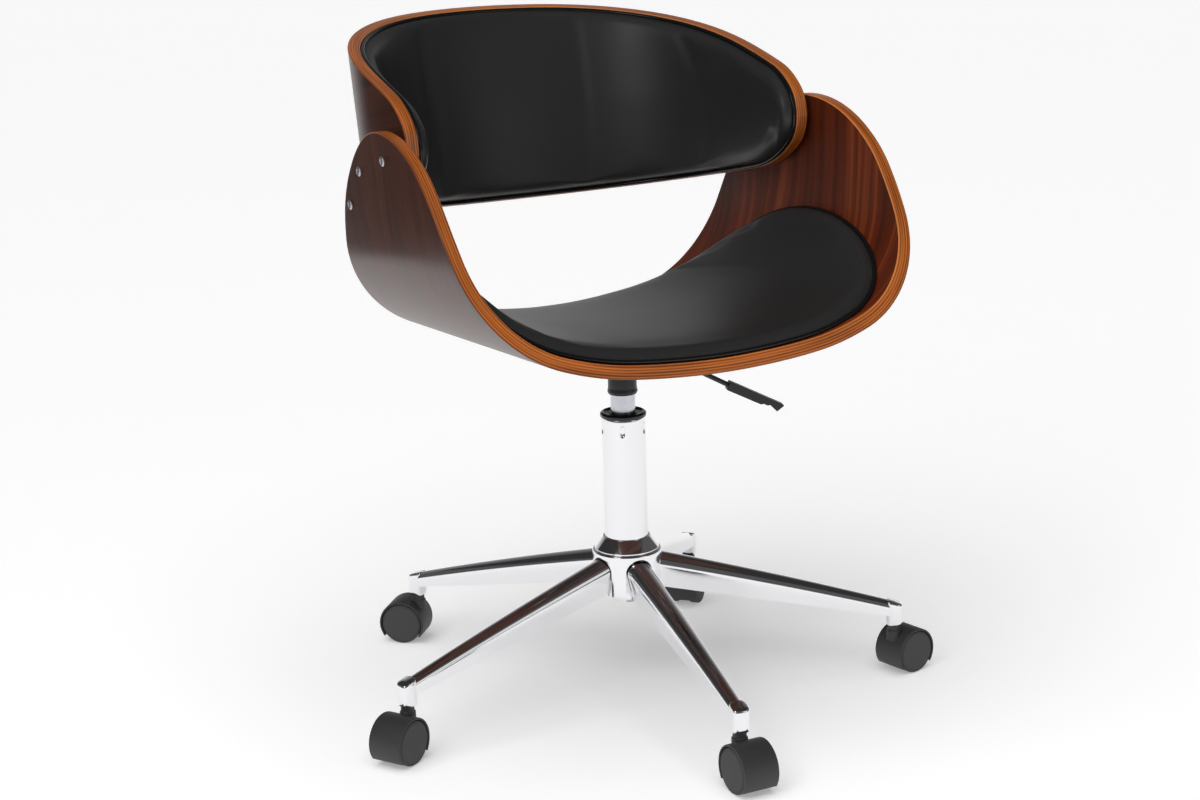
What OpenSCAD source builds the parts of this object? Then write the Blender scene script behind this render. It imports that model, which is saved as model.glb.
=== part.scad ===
// Swivel office chair: bent plywood seat and back shells on a gas lift and a five-arm base.
// Millimetres, +Z up. The origin is on the floor under the column axis and the seat faces -Y.
// The rest pose has the lift 15 mm above its lowest stop.

/* [Seat shell] */
// Thickness of the bent plywood
ply = 14; // [10:0.5:18]
// Height of the seat shell's upper face on the column axis
seat_h = 418; // [400:1:520]
// Nose-up tilt of the seat shell, degrees
seat_tilt = 4; // [0:0.5:8]
// Angle by which each arm turns inward towards the back, degrees
toe_in = 3.6; // [0:0.1:6]
// Bend radius across the seat's pan
pan_r = 720; // [400:10:1200]
// Bend radius where the pan begins to rise
haunch_r = 340; // [200:10:500]
// Bend radius of the corner between pan and arm
corner_r = 127; // [90:1:180]
// Bend radius of the upright arm
arm_r = 700; // [400:10:1200]
// Radius of the arm's outward flare at its top
flare_r = 750; // [400:10:1200]
// Front edge of the pan, measured forward from the column axis
seat_front = 228; // [180:1:260]

/* [Back shell] */
// Backward lean of the back shell, degrees
lean = 11.4; // [5:0.2:20]
// Height about which the back shell leans
lean_h = 600; // [560:1:640]
// Distance from the column axis back to the middle of the back shell
back_y = 294; // [240:1:320]
// Bend radius at the middle of the back
back_mid_r = 330; // [200:10:500]
// Bend radius where the back turns forward to the arms
back_turn_r = 205; // [150:5:300]

/* [Pads] */
// Thickness of the upholstered pads
pad = 24; // [12:1:40]
// Radius of the seat pad's outline, seen from the side
pad_r = 243; // [200:1:280]
// Margin between the back pad and the edge of its shell
pad_margin = 0.6; // [0:0.2:12]

/* [Column] */
// Outer diameter of the column tube
tube_d = 50; // [45:1:60]
// Outer diameter of the gas cylinder
gas_d = 28; // [25:1:32]
// Height of the column tube's top rim
tube_top = 324; // [280:1:360]
// Height of the bottom of the cylinder's plastic sleeve at rest
sleeve_z = 350; // [345:1:420]

/* [Base] */
// Distance from the column axis to each caster stem
stem_r = 310; // [260:1:340]
// Number of arms
arms = 5; // [5]
// Turn of the first arm about the column, degrees from -Y towards +X
first_arm = -7; // [-36:1:36]
// Hub diameter
hub_d = 80; // [76:1:90]

/* [Casters] */
// Wheel diameter
wheel_d = 50; // [40:1:60]
// Distance from the stem axis back to the axle
trail = 17.5; // [14:0.5:22]
// Overall width across both wheels
caster_w = 40.6; // [34:0.2:50]

/* [Hidden] */
$fn = 96;
gap = 0.3;
fit = 0.05;
wide = 900;
step = 3;
turned = [-1, 100, -45, -131, -59];

// Each bend is a chain of tangent arcs, listed as [signed radius, heading at its end].
seat_arcs = [[pan_r, 8], [haunch_r, 19], [corner_r, 82], [arm_r, 88], [-flare_r, 77]];
back_arcs = [[back_mid_r, 12.5], [back_turn_r, 80], [320, 87.5], [1500, 91]];
// Side outlines, also as chains: the arm runs up from the front edge, over and down.
side_heading = 69.9;
side_start = [-seat_front, 0];
side_arcs = [[-743, 55], [-183, 5], [-144, -20], [-197, -63], [-521, -88]];
side_below = 40;
end_start = [85, -8];
end_arcs = [[-150, 150], [-46, 55], [-100, 28], [-2000, 20]];

plate_x = 150;
plate_y = 180;
plate_t = 3;
pan_under = ply + 0.2;
socket_z = 372;
lever_turn = -20;
lever_pivot = [34, 0, 395];
lever_bend = [40, 0, 395.6];
lever_grip = [131.5, 0, 346.5];
lever_bar = 5.2;
lever_pin_r = 1.5;
ear = 2;
pad_mid = [-15, -123];
// Places of the three screws through each arm, as [y, z] in the seat shell's frame.
screw_places = [[-1, 219], [85, 204], [133, 165]];
screw_r = 2.4;
bolt_x = 62;
bolt_y = 72;
bolt_r = 3;

tube_r = tube_d / 2;
tube_wall = 1.6;
tube_floor = 112;
gas_r = gas_d / 2;
gas_bottom = 196;
gas_top = 392;
hub_r = hub_d / 2;
hub_top = 168;
opening_r = 16;
opening_z = 148.2;
hub_bottom = 113.5;
cone_r = 37;
rod_r = 5;

wheel_r = wheel_d / 2;
hood_r = wheel_r + 3;
hood_in = wheel_r + 0.7;
boss_r = 7.3;
axle_r = 3;
stem_pin_r = 5.5;
socket_bottom = 59.3;
stem_top = 82;

arm_angles = [for (k = [0:arms - 1]) first_arm + k * 360 / arms];

wood = "#8a4a26";
leather = "#1d1d1f";
chrome = "#d9dbe0";
black = "#202022";
steel = "#9a9ca0";

// ---- arcs -------------------------------------------------------------------

// Centre of the arc that leaves point p with heading a and signed radius r.
function arc_mid(p, a, r) = p + r * [-sin(a), cos(a)];
// Point of that arc where its heading is a.
function arc_at(c, a, r) = c + r * [sin(a), -cos(a)];
// Centre, start heading and start point of every arc in a chain.
function chain(arcs, p, a, i = 0) = i == len(arcs) ? [] :
    let (c = arc_mid(p, a, arcs[i][0]))
    concat([[c, a, p]], chain(arcs, arc_at(c, arcs[i][1], arcs[i][0]), arcs[i][1], i + 1));
// End point of a chain.
function chain_end(arcs, links) = let (n = len(arcs) - 1)
    arc_at(links[n][0], arcs[n][1], arcs[n][0]);
// A chain of convex clockwise arcs moved inward by d.
function shrink(arcs, d) = [for (a = arcs) [a[0] + d, a[1]]];

// Points along one arc of a chain, about every three degrees, at the offset t from it.
function arc_points(c, r, a0, a1, t) = let (n = max(2, ceil(abs(a1 - a0) / step)))
    [for (j = [0:n]) let (a = a0 + (a1 - a0) * j / n) arc_at(c, a, r + t)];
// Points along a whole chain, each joint given once.
function chain_points(arcs, p, a, t) = let (links = chain(arcs, p, a))
    concat([arc_at(links[0][0], a, arcs[0][0] + t)],
        [for (i = [0:len(arcs) - 1])
            let (q = arc_points(links[i][0], arcs[i][0], links[i][1], arcs[i][1], t))
            for (j = [1:len(q) - 1]) q[j]]);
function reversed(v) = [for (i = [len(v) - 1:-1:0]) v[i]];

// A bent board's section from the offset t0 to t1, starting at the heading before.
module board(arcs, t0, t1, before) {
    start = arcs[0][0] * [sin(before), 1 - cos(before)];
    polygon(concat(chain_points(arcs, start, before, t0),
        reversed(chain_points(arcs, start, before, t1))));
}

// The region inside a clockwise outline that closes through the points in rest.
module outline(arcs, start, a, rest) {
    polygon(concat(chain_points(arcs, start, a, 0), rest));
}

// ---- seat and back shells -----------------------------------------------------

// The seat shell's frame: tilted nose up about the column axis.
module on_seat() {
    translate([0, 0, seat_h]) rotate([-seat_tilt, 0, 0]) children();
}

// The back shell's frame: leaning back.
module on_back() {
    translate([0, 0, lean_h]) rotate([-lean, 0, 0]) children();
}

// Half of the seat's bent board, turned by the toe-in and cut at the middle plane.
module seat_half(t0, t1) {
    intersection() {
        rotate([0, 0, toe_in]) rotate([90, 0, 0]) linear_extrude(height = 640, center = true)
            board(seat_arcs, t0, t1, -2.5);
        translate([0, -wide / 2, -wide / 2]) cube([wide, wide, wide]);
    }
}

module seat_board(t0, t1) {
    seat_half(t0, t1);
    mirror([1, 0, 0]) seat_half(t0, t1);
}

// The seat shell's side outline, run straight on below the pan.
module seat_side() {
    last = chain_end(side_arcs, chain(side_arcs, side_start, side_heading));
    outline(side_arcs, side_start, side_heading,
        [[last[0], -side_below], side_start - side_below * [1 / tan(side_heading), 1]]);
}

module seat_shell() {
    color(wood) difference() {
        on_seat() intersection() {
            seat_board(0, ply);
            rotate([90, 0, 90]) linear_extrude(height = wide, center = true) seat_side();
        }
        screw_holes();
        on_seat() bolt_places() translate([0, 0, -ply - 1]) cylinder(r = bolt_r + fit, h = ply - 1);
    }
}

module seat_pad() {
    color(leather) on_seat() intersection() {
        seat_board(-pad, -0.2);
        translate([0, pad_mid[0], pad_mid[1]]) rotate([0, 90, 0])
            cylinder(r = pad_r, h = wide, center = true, $fn = 360);
    }
}

// The back's bent board: a plan section drawn from the middle of the back forward.
module back_board(t0, t1) {
    inner = chain_points(back_arcs, [0, 0], 0, t0);
    outer = chain_points(back_arcs, [0, 0], 0, t1);
    translate([0, back_y, -120]) linear_extrude(height = 460) mirror([0, 1]) {
        polygon(concat([for (p = reversed(inner)) [-p[0], p[1]]], [for (i = [1:len(inner) - 1]) inner[i]],
            reversed(outer), [for (i = [1:len(outer) - 1]) [-outer[i][0], outer[i][1]]]));
    }
}

// The back's side outline, moved inward by d.
module back_side(d) {
    rotate([90, 0, 90]) linear_extrude(height = wide, center = true) {
        arcs = shrink(end_arcs, d);
        start = end_start + [0, d];
        last = chain_end(arcs, chain(arcs, start, 180));
        outline(arcs, start, 180, [last + [90, 90 * tan(20)], [last[0] + 90, -8 + d]]);
    }
}

module back_shell() {
    color(wood) difference() {
        on_back() intersection() {
            back_board(0, ply);
            back_side(0);
        }
        on_seat() seat_board(-0.1, 40);
        screw_holes();
    }
}

module back_pad() {
    color(leather) on_back() intersection() {
        back_board(-pad, -0.2);
        back_side(pad_margin);
    }
}

// ---- fasteners of the shells ----------------------------------------------------

// Where the arm's inner face stands at height z, before the toe-in.
function arm_face(z) = let (links = chain(seat_arcs, [0, 0], 0), c = links[4][0])
    c[0] - sqrt(flare_r * flare_r - (z - c[1]) * (z - c[1]));

// Frame of one arm screw: its origin on the arm's outer face, +Z pointing inward.
module on_screw(y, z) {
    translate([arm_face(z) - y * tan(toe_in) + ply + 0.2, y, z]) rotate([0, -90, 0]) children();
}

// Low-domed screws, three through each arm into the back shell.
module shell_screws(side) {
    color(steel) on_seat() mirror([side < 0 ? 1 : 0, 0, 0])
        for (p = screw_places) on_screw(p[0], p[1]) {
            cylinder(r = screw_r, h = ply + 9);
            translate([0, 0, -1.2]) cylinder(r = 5.6, h = 1.3);
            translate([0, 0, -2.2]) cylinder(r1 = 3.6, r2 = 5.6, h = 1.01);
        }
}

// Holes for the arm screws, through the arm and into the back shell, spot-faced for the heads.
module screw_holes() {
    on_seat() for (m = [0, 1]) mirror([m, 0, 0]) for (p = screw_places)
        on_screw(p[0], p[1]) translate([0, 0, -4]) {
            cylinder(r = screw_r + fit, h = ply + 14);
            cylinder(r = 5.9, h = 4.15);
        }
}

module shell_screws_right() {
    shell_screws(-1);
}

module shell_screws_left() {
    shell_screws(1);
}

// The four places where the plate is bolted to the pan.
module bolt_places() {
    for (x = [-bolt_x, bolt_x], y = [-bolt_y, bolt_y]) translate([x, y, 0]) children();
}

// Hexagon-headed bolts from below the plate into the pan.
module pan_bolts() {
    color(steel) on_seat() bolt_places() {
        translate([0, 0, -ply - plate_t - 1]) cylinder(r = bolt_r, h = plate_t + ply - 2);
        translate([0, 0, -ply - plate_t - 5.2]) cylinder(r = 6.4, h = 4.8, $fn = 6);
    }
}

// ---- mechanism --------------------------------------------------------------------

// Pressed plate under the pan with turned-down sides, drilled for its bolts.
module mount_plate() {
    color(black) on_seat() translate([0, 0, -pan_under - plate_t]) difference() {
        union() {
            translate([-plate_x / 2, -plate_y / 2, 0]) cube([plate_x, plate_y, plate_t]);
            for (s = [-1, 1]) translate([s * 41 - 1.5, -60, -16]) cube([3, 120, 16.5]);
        }
        bolt_places() translate([0, 0, -1]) cylinder(r = bolt_r + gap, h = plate_t + 2);
        translate([0, 0, -20]) cylinder(r = gas_r + 6, h = 40);
        rotate([0, 0, lever_turn]) translate([20, -6, -30]) cube([60, 12, 28]);
    }
    color(black) lever_ears();
}

// Two ears under the plate that hold the lever's pin.
module lever_ears() {
    side = lever_bar / 2 + gap;
    on_lever() difference() {
        for (y = [-side - ear, side]) translate(lever_pivot + [-4, y, -4.5]) cube([8, ear, 12.5]);
        translate(lever_pivot) rotate([90, 0, 0])
            cylinder(r = lever_pin_r + fit, h = 20, center = true);
    }
}

// Pin that the lever turns on.
module lever_pin() {
    color(steel) on_lever() translate(lever_pivot) rotate([90, 0, 0])
        cylinder(r = lever_pin_r, h = lever_bar + 2 * (gap + ear) + 0.6, center = true);
}

// Upright socket that takes the cylinder's upper end, slotted for the lever.
module plate_socket() {
    color(black) difference() {
        translate([0, 0, socket_z]) cylinder(r = gas_r + 5.5, h = 40);
        translate([0, 0, socket_z - 1]) cylinder(r = gas_r + fit, h = 50);
        on_seat() translate([-wide / 2, -wide / 2, -pan_under - plate_t - 0.2])
            cube([wide, wide, wide]);
        rotate([0, 0, lever_turn]) translate([0, -5, lever_pivot[2] - 11]) cube([60, 10, 40]);
    }
}

// The lever's plane: +X runs out along the lever, drooping from the pivot.
module on_lever() {
    rotate([0, 0, lever_turn]) children();
}

module rod_piece(p, q, r) {
    d = q - p;
    translate(p) rotate([0, 90 - atan2(d[2], d[0]), 0]) cylinder(r = r, h = norm(d), $fn = 32);
}

module lever_rod() {
    color(black) on_lever() difference() {
        union() {
            translate([-3, -lever_bar / 2, 394]) cube([40, lever_bar, 4.2]);
            rod_piece(lever_bend - [6, 0, 0], lever_grip, 2.8);
            translate(lever_pivot) rotate([90, 0, 0]) cylinder(r = 3.4, h = lever_bar, center = true);
        }
        translate(lever_pivot) rotate([90, 0, 0]) cylinder(r = lever_pin_r + fit, h = 20, center = true);
    }
}

// Flat handle with a rounded end and a finger notch below.
module lever_handle() {
    slope = atan2(lever_grip[2] - lever_bend[2], lever_grip[0] - lever_bend[0]);
    color(black) on_lever() translate(lever_grip) rotate([0, -slope - 2, 0])
        rotate([90, 0, 0]) translate([-12, 0, -6.5]) difference() {
            linear_extrude(height = 13) difference() {
                union() {
                    translate([0, -5.2]) square([66, 10.4]);
                    translate([66, 0]) circle(r = 5.2);
                }
                translate([52, -6.7]) circle(r = 3);
            }
            translate([-1, 0, 6.5]) rotate([0, 90, 0]) cylinder(r = 2.85, h = 13.2);
        }
}

module release_button() {
    color(steel) translate([0, 0, gas_top - 10]) cylinder(r = 4, h = 11.6);
}

// ---- gas lift ---------------------------------------------------------------------

module sleeve() {
    color(black) translate([0, 0, sleeve_z]) difference() {
        cylinder(r = gas_r + 2.2, h = socket_z - sleeve_z - 0.2);
        translate([0, 0, -1]) cylinder(r = gas_r + fit, h = 60);
    }
}

module gas_cylinder() {
    color(steel) difference() {
        translate([0, 0, gas_bottom]) cylinder(r = gas_r, h = gas_top - gas_bottom - 3);
        translate([0, 0, gas_bottom - 1]) cylinder(r = 11, h = gas_top - gas_bottom - 24);
        translate([0, 0, gas_top - 16]) cylinder(r = 4 + fit, h = 30);
    }
}

// Gland in the cylinder's lower end, with the rod's running bore.
module cylinder_gland() {
    color(steel) translate([0, 0, gas_bottom]) difference() {
        cylinder(r = 11 - fit, h = 12);
        translate([0, 0, -1]) cylinder(r = rod_r + fit, h = 20);
    }
}

module piston_rod() {
    color(steel) {
        translate([0, 0, 104]) cylinder(r = rod_r, h = 190);
        translate([0, 0, 290]) cylinder(r = 10.6, h = 8);
        translate([0, 0, 121.5]) cylinder(r = 11, h = 2);
    }
}

module bump_stop() {
    color(black) translate([0, 0, 123.7]) difference() {
        cylinder(r = 11, h = 20);
        translate([0, 0, -1]) cylinder(r = rod_r + fit, h = 30);
    }
}

// Flat cage of the thrust bearing under the rod's shoulder.
module bearing_cage() {
    color(black) translate([0, 0, 118.6]) difference() {
        cylinder(r = 11, h = 2.7);
        translate([0, 0, -1]) cylinder(r = rod_r + fit, h = 6);
    }
}

module bearing_race() {
    color(steel) translate([0, 0, tube_floor + 4.1]) difference() {
        cylinder(r = 12, h = 2);
        translate([0, 0, -1]) cylinder(r = rod_r + gap, h = 6);
    }
}

// Spring clip under the column's floor, in the rod's lower end.
module rod_clip() {
    color(steel) translate([0, 0, tube_floor - 3]) difference() {
        cylinder(r = 8.5, h = 1.6);
        translate([0, 0, -1]) cylinder(r = rod_r + fit, h = 4);
    }
}

// ---- column -----------------------------------------------------------------------

// Tube with a floor for the bearing and five staking slots near its rim.
module column_tube() {
    color(chrome) difference() {
        translate([0, 0, tube_floor]) cylinder(r = tube_r, h = tube_top - tube_floor, $fn = 180);
        translate([0, 0, tube_floor + 4]) cylinder(r = tube_r - tube_wall, h = 400);
        translate([0, 0, tube_floor - 1]) cylinder(r = rod_r + gap, h = 10);
        for (k = [0:4]) rotate([0, 0, k * 72 - 31]) translate([0, -tube_r, tube_top - 15])
            rotate([90, 0, 0]) {
                for (z = [-3.5, 3.5]) translate([0, z, 0]) cylinder(r = 2.2, h = 10, center = true);
                cube([4.4, 7, 10], center = true);
            }
    }
}

module guide_bush() {
    bore = gas_r + fit + 0.02;
    skirt = tube_r - tube_wall - fit;
    color(black) translate([0, 0, tube_top]) rotate_extrude($fn = 180) polygon([
        [bore, -74], [skirt, -74], [skirt, 0.1], [tube_r + 0.4, 0.1], [tube_r + 0.4, 3.2],
        [tube_r - 1.2, 5.2], [gas_r + 6, 5.2], [gas_r + 4, 3.6], [gas_r + 2, 3.6], [bore, 3.2]]);
}

module cone_collar() {
    color(chrome) translate([0, 0, hub_top + 0.1]) difference() {
        union() {
            cylinder(r = cone_r, h = 1.2, $fn = 180);
            translate([0, 0, 1.2]) cylinder(r1 = cone_r, r2 = tube_r + 2, h = 13.5, $fn = 180);
        }
        translate([0, 0, -1]) cylinder(r = tube_r + fit, h = 30);
    }
}

// ---- base -------------------------------------------------------------------------

// Section of an arm: round ridge on top of a straight skirt.
module arm_section(ridge, foot, height) {
    hull() {
        translate([0, height - ridge]) circle(r = ridge, $fn = 32);
        translate([-foot, 0]) square([2 * foot, 1]);
    }
}

// A thin slice of that section standing across the arm at distance d, foot at height z.
module arm_slice(d, z, ridge, foot, height) {
    translate([0, -d, z]) rotate([90, 0, 0]) linear_extrude(height = 0.5)
        arm_section(ridge, foot, height);
}

// Cup over the arms' roots, with a round-topped opening for each arm.
module hub() {
    color(chrome) difference() {
        translate([0, 0, hub_bottom]) cylinder(r = hub_r, h = hub_top - hub_bottom, $fn = 180);
        translate([0, 0, hub_bottom - 1]) cylinder(r = hub_r - 3, h = hub_top - hub_bottom - 1.4);
        cylinder(r = tube_r + fit, h = 400);
        for (a = arm_angles) rotate([0, 0, a]) {
            translate([0, -hub_r, opening_z]) rotate([90, 0, 0])
                cylinder(r = opening_r, h = 20, center = true);
            translate([-opening_r, -hub_r - 10, hub_bottom - 1])
                cube([2 * opening_r, 20, opening_z - hub_bottom + 1]);
        }
    }
}

// Pressed channel arm with a socket for its caster stem at the tip.
module base_arm(a) {
    color(chrome) rotate([0, 0, a]) difference() {
        union() {
            difference() {
                hull() {
                    arm_slice(24, 125, 15, 15, 39.6);
                    arm_slice(150, 102.5, 11.8, 11.8, 32.3);
                    arm_slice(stem_r - 6, 72, 8.5, 10.4, 15.4);
                    translate([0, -stem_r, 72]) cylinder(r = 10.4, h = 11, $fn = 32);
                    translate([0, -stem_r, 72]) cylinder(r = 8, h = 15, $fn = 32);
                }
                hull() {
                    arm_slice(20, 121, 13, 13, 41.4);
                    arm_slice(150, 98, 9.8, 9.8, 34.6);
                    arm_slice(stem_r - 26, 68, 6.6, 8.6, 18.6);
                }
            }
            translate([0, -stem_r, socket_bottom]) cylinder(r1 = 9.4, r2 = 10.4, h = 13);
            translate([0, -stem_r, 72]) cylinder(r = 10.4, h = 6);
        }
        cylinder(r = tube_r + 0.15, h = 400);
        translate([0, -stem_r, socket_bottom - 1])
            cylinder(r = stem_pin_r + fit, h = stem_top - socket_bottom + 1.2);
    }
}

// Pressed cap over the clip and the rod's lower end.
module hub_cap() {
    color(chrome) difference() {
        translate([0, 0, 101]) cylinder(r = 14, h = tube_floor - 101.1);
        translate([0, 0, 103]) cylinder(r = 11, h = 20);
    }
}

// ---- casters ----------------------------------------------------------------------

// Caster frame k: the stem axis at the arm's tip, +Y along the trail.
module on_caster(k) {
    a = arm_angles[k - 1];
    translate([stem_r * sin(a), -stem_r * cos(a), 0]) rotate([0, 0, turned[k - 1] + 180])
        children();
}

// The axle's frame: its middle, with +Z along the axle.
module on_axle(k) {
    on_caster(k) translate([0, trail, wheel_r]) rotate([0, 90, 0]) children();
}

module stem(k) {
    color(steel) on_caster(k) translate([0, 0, 39])
        cylinder(r = stem_pin_r, h = stem_top - 39);
}

// Hood over both wheels, joined to the stem's boss by a web.
module caster_hood(k) {
    color(black) difference() {
        union() {
            on_axle(k) difference() {
                cylinder(r = hood_r, h = caster_w, center = true, $fn = 120);
                cylinder(r = hood_in, h = caster_w + 2, center = true, $fn = 120);
            }
            on_axle(k) cylinder(r = hood_in + 0.5, h = 5, center = true, $fn = 120);
            on_caster(k) {
                translate([0, 0, 34]) cylinder(r = boss_r, h = socket_bottom - 0.4 - 34);
                translate([-2.5, 0, 34]) cube([5, trail, 12]);
            }
        }
        on_caster(k) {
            translate([-40, -60, -11]) cube([80, 120, 20]);
            translate([0, 0, 38]) cylinder(r = stem_pin_r + fit, h = 40);
        }
        on_axle(k) cylinder(r = axle_r + fit, h = 60, center = true);
    }
}

module caster_axle(k) {
    color(steel) on_axle(k) cylinder(r = axle_r, h = caster_w - 4.8, center = true);
}

// One wheel, side s = 1 or -1: chamfered tread, plain outer disc, blind running bore.
module wheel(k, s) {
    inner = boss_r + gap;
    outer = caster_w / 2 - 0.4;
    color(black) on_axle(k) mirror([0, 0, s < 0 ? 1 : 0]) difference() {
        rotate_extrude($fn = 120) polygon([[0, inner], [wheel_r - 1, inner], [wheel_r, inner + 1],
            [wheel_r, outer - 1.4], [wheel_r - 1.4, outer], [0, outer]]);
        translate([0, 0, inner - 1]) cylinder(r = axle_r + fit, h = outer - inner - 0.5);
    }
}

module wheel_a(k) {
    wheel(k, 1);
}

module wheel_b(k) {
    wheel(k, -1);
}

seat_shell();
seat_pad();
back_shell();
back_pad();
shell_screws_right();
shell_screws_left();
pan_bolts();
mount_plate();
plate_socket();
lever_pin();
lever_rod();
lever_handle();
release_button();
sleeve();
gas_cylinder();
cylinder_gland();
piston_rod();
bump_stop();
bearing_cage();
rod_clip();
bearing_race();
column_tube();
guide_bush();
cone_collar();
hub();
hub_cap();
for (k = [1:arms]) {
    base_arm(arm_angles[k - 1]);
    stem(k);
    caster_hood(k);
    caster_axle(k);
    wheel_a(k);
    wheel_b(k);
}
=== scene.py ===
"""Swivel office chair: two bent walnut shells with black pads on a chrome column and star base.

Lengths are metres, +Z is up, the chair faces -Y and the floor is at zero.
"""

import logging
import math
from dataclasses import dataclass
from enum import Enum
from typing import Iterable, Sequence

import bmesh
import bpy
import numpy as np
from mathutils import Matrix, Vector
from mathutils.kdtree import KDTree


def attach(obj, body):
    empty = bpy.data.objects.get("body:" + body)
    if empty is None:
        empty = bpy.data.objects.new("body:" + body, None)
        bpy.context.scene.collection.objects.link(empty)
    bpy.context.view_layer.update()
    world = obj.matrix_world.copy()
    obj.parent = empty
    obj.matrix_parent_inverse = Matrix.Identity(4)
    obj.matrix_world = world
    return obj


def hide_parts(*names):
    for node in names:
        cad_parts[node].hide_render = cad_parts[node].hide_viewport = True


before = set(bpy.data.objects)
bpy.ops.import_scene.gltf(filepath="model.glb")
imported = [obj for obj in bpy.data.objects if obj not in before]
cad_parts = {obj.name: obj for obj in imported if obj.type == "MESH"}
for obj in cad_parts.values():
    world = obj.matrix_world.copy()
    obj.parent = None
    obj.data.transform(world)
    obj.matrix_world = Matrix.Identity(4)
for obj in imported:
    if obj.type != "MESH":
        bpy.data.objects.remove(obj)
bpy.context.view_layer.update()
MM = 0.001
LOG = logging.getLogger("chair")

Array = np.ndarray
Point = tuple[float, float]

SIDES = np.array([0.0, 1.0])


# ---- shader expressions ----------------------------------------------------------


class Signal:
    """An output socket that can be used in Python arithmetic."""

    def __init__(self, graph: "Graph", socket: bpy.types.NodeSocket) -> None:
        """Wraps one socket of a graph.

        Args:
            graph: The graph that the socket belongs to.
            socket: The output socket.
        """
        self.graph = graph
        self.socket = socket

    def _math(self, operation: str, *values: "Signal | float") -> "Signal":
        """Adds one Math node and returns its result.

        Args:
            operation: The Math node's operation.
            values: Its inputs in order.

        Returns:
            The node's output.
        """
        inputs = dict(enumerate(values))
        return self.graph.node("ShaderNodeMath", {"operation": operation}, inputs)

    def __add__(self, other: "Signal | float") -> "Signal":
        """Sum."""
        return self._math("ADD", self, other)

    def __sub__(self, other: "Signal | float") -> "Signal":
        """Difference."""
        return self._math("SUBTRACT", self, other)

    def __rsub__(self, other: float) -> "Signal":
        """Difference from a number."""
        return self._math("SUBTRACT", other, self)

    def __mul__(self, other: "Signal | float") -> "Signal":
        """Product."""
        return self._math("MULTIPLY", self, other)

    __radd__ = __add__
    __rmul__ = __mul__

    def sine(self) -> "Signal":
        """Sine of the value in radians."""
        return self._math("SINE", self)

    def step(self, low: float, high: float) -> "Signal":
        """Smooth step from 0 at low to 1 at high.

        Args:
            low: Where the result leaves 0.
            high: Where the result reaches 1.

        Returns:
            The smoothed value.
        """
        settings = {"interpolation_type": "SMOOTHSTEP"}
        return self.graph.node("ShaderNodeMapRange", settings, {0: self, 1: low, 2: high})


class Graph:
    """The node tree of one material."""

    def __init__(self, name: str) -> None:
        """Starts an empty material.

        Args:
            name: The material's name.
        """
        self.material = bpy.data.materials.new(name)
        self.material.use_nodes = True
        self.tree = self.material.node_tree
        self.tree.nodes.clear()

    def node(self, kind: str, settings: dict, inputs: dict, output: int | str = 0) -> Signal:
        """Adds a node of any type.

        Args:
            kind: The node's type.
            settings: Its properties, which are set first.
            inputs: Values or signals by socket name or index.
            output: The output to return, by index or name.

        Returns:
            The chosen output.
        """
        made = self.tree.nodes.new(kind)
        for key, value in settings.items():
            setattr(made, key, value)
        for key, value in inputs.items():
            if isinstance(value, Signal):
                self.tree.links.new(value.socket, made.inputs[key])
            else:
                made.inputs[key].default_value = value
        return Signal(self, made.outputs[output])

    def mix(self, factor: Signal | float, first: Signal | tuple, second: Signal | tuple) -> Signal:
        """Mixes two colours.

        Args:
            factor: Share of the second colour.
            first: Colour at factor 0.
            second: Colour at factor 1.

        Returns:
            The mixed colour.
        """
        return self.node("ShaderNodeMix", {"data_type": "RGBA"}, {0: factor, 6: first, 7: second}, 2)

    def noise(self, place: Signal, scale: float, detail: float = 2.0) -> Signal:
        """Fractal noise at a place.

        Args:
            place: The vector to read the noise at.
            scale: Noise cells per unit of that vector.
            detail: Number of finer layers.

        Returns:
            The noise value, from 0 to 1.
        """
        return self.node("ShaderNodeTexNoise", {}, {"Vector": place, "Scale": scale, "Detail": detail})

    def stretch(self, place: Signal, scale: tuple[float, float, float]) -> Signal:
        """Scales a vector along its axes."""
        return self.node("ShaderNodeVectorMath", {"operation": "MULTIPLY"}, {0: place, 1: scale})

    def local(self) -> Signal:
        """The place on the piece, in metres."""
        return self.node("ShaderNodeTexCoord", {}, {}, "Object")

    def stored(self, name: str) -> Signal:
        """A vector stored on the mesh's points."""
        return self.node("ShaderNodeAttribute", {"attribute_name": name}, {}, "Vector")

    def axis(self, place: Signal, which: int) -> Signal:
        """One axis of a vector, 0 to 2."""
        return self.node("ShaderNodeSeparateXYZ", {}, {0: place}, which)

    def vector(self, x: Signal | float, y: Signal | float, z: Signal | float) -> Signal:
        """A vector from three values."""
        return self.node("ShaderNodeCombineXYZ", {}, {0: x, 1: y, 2: z})

    def bump(self, height: Signal, strength: float, distance: float) -> Signal:
        """A normal disturbed by a height.

        Args:
            height: Height from 0 to 1.
            strength: Share of the effect.
            distance: Height of 1 in metres.

        Returns:
            The disturbed normal.
        """
        values = {"Height": height, "Strength": strength, "Distance": distance}
        return self.node("ShaderNodeBump", {}, values)

    def finish(self, inputs: dict) -> bpy.types.Material:
        """Ends the graph in one Principled shader.

        Args:
            inputs: The shader's values or signals by socket name.

        Returns:
            The finished material.
        """
        shader = self.node("ShaderNodeBsdfPrincipled", {}, inputs)
        end = self.tree.nodes.new("ShaderNodeOutputMaterial")
        self.tree.links.new(shader.socket, end.inputs["Surface"])
        return self.material


def paint(red: float, green: float, blue: float) -> tuple[float, float, float, float]:
    """A linear colour from display values.

    Args:
        red: Display red from 0 to 255.
        green: Display green from 0 to 255.
        blue: Display blue from 0 to 255.

    Returns:
        The linear colour with alpha 1.
    """
    linear = [((v / 255 + 0.055) / 1.055) ** 2.4 if v > 10 else v / 255 / 12.92 for v in (red, green, blue)]
    return (*linear, 1.0)


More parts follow.
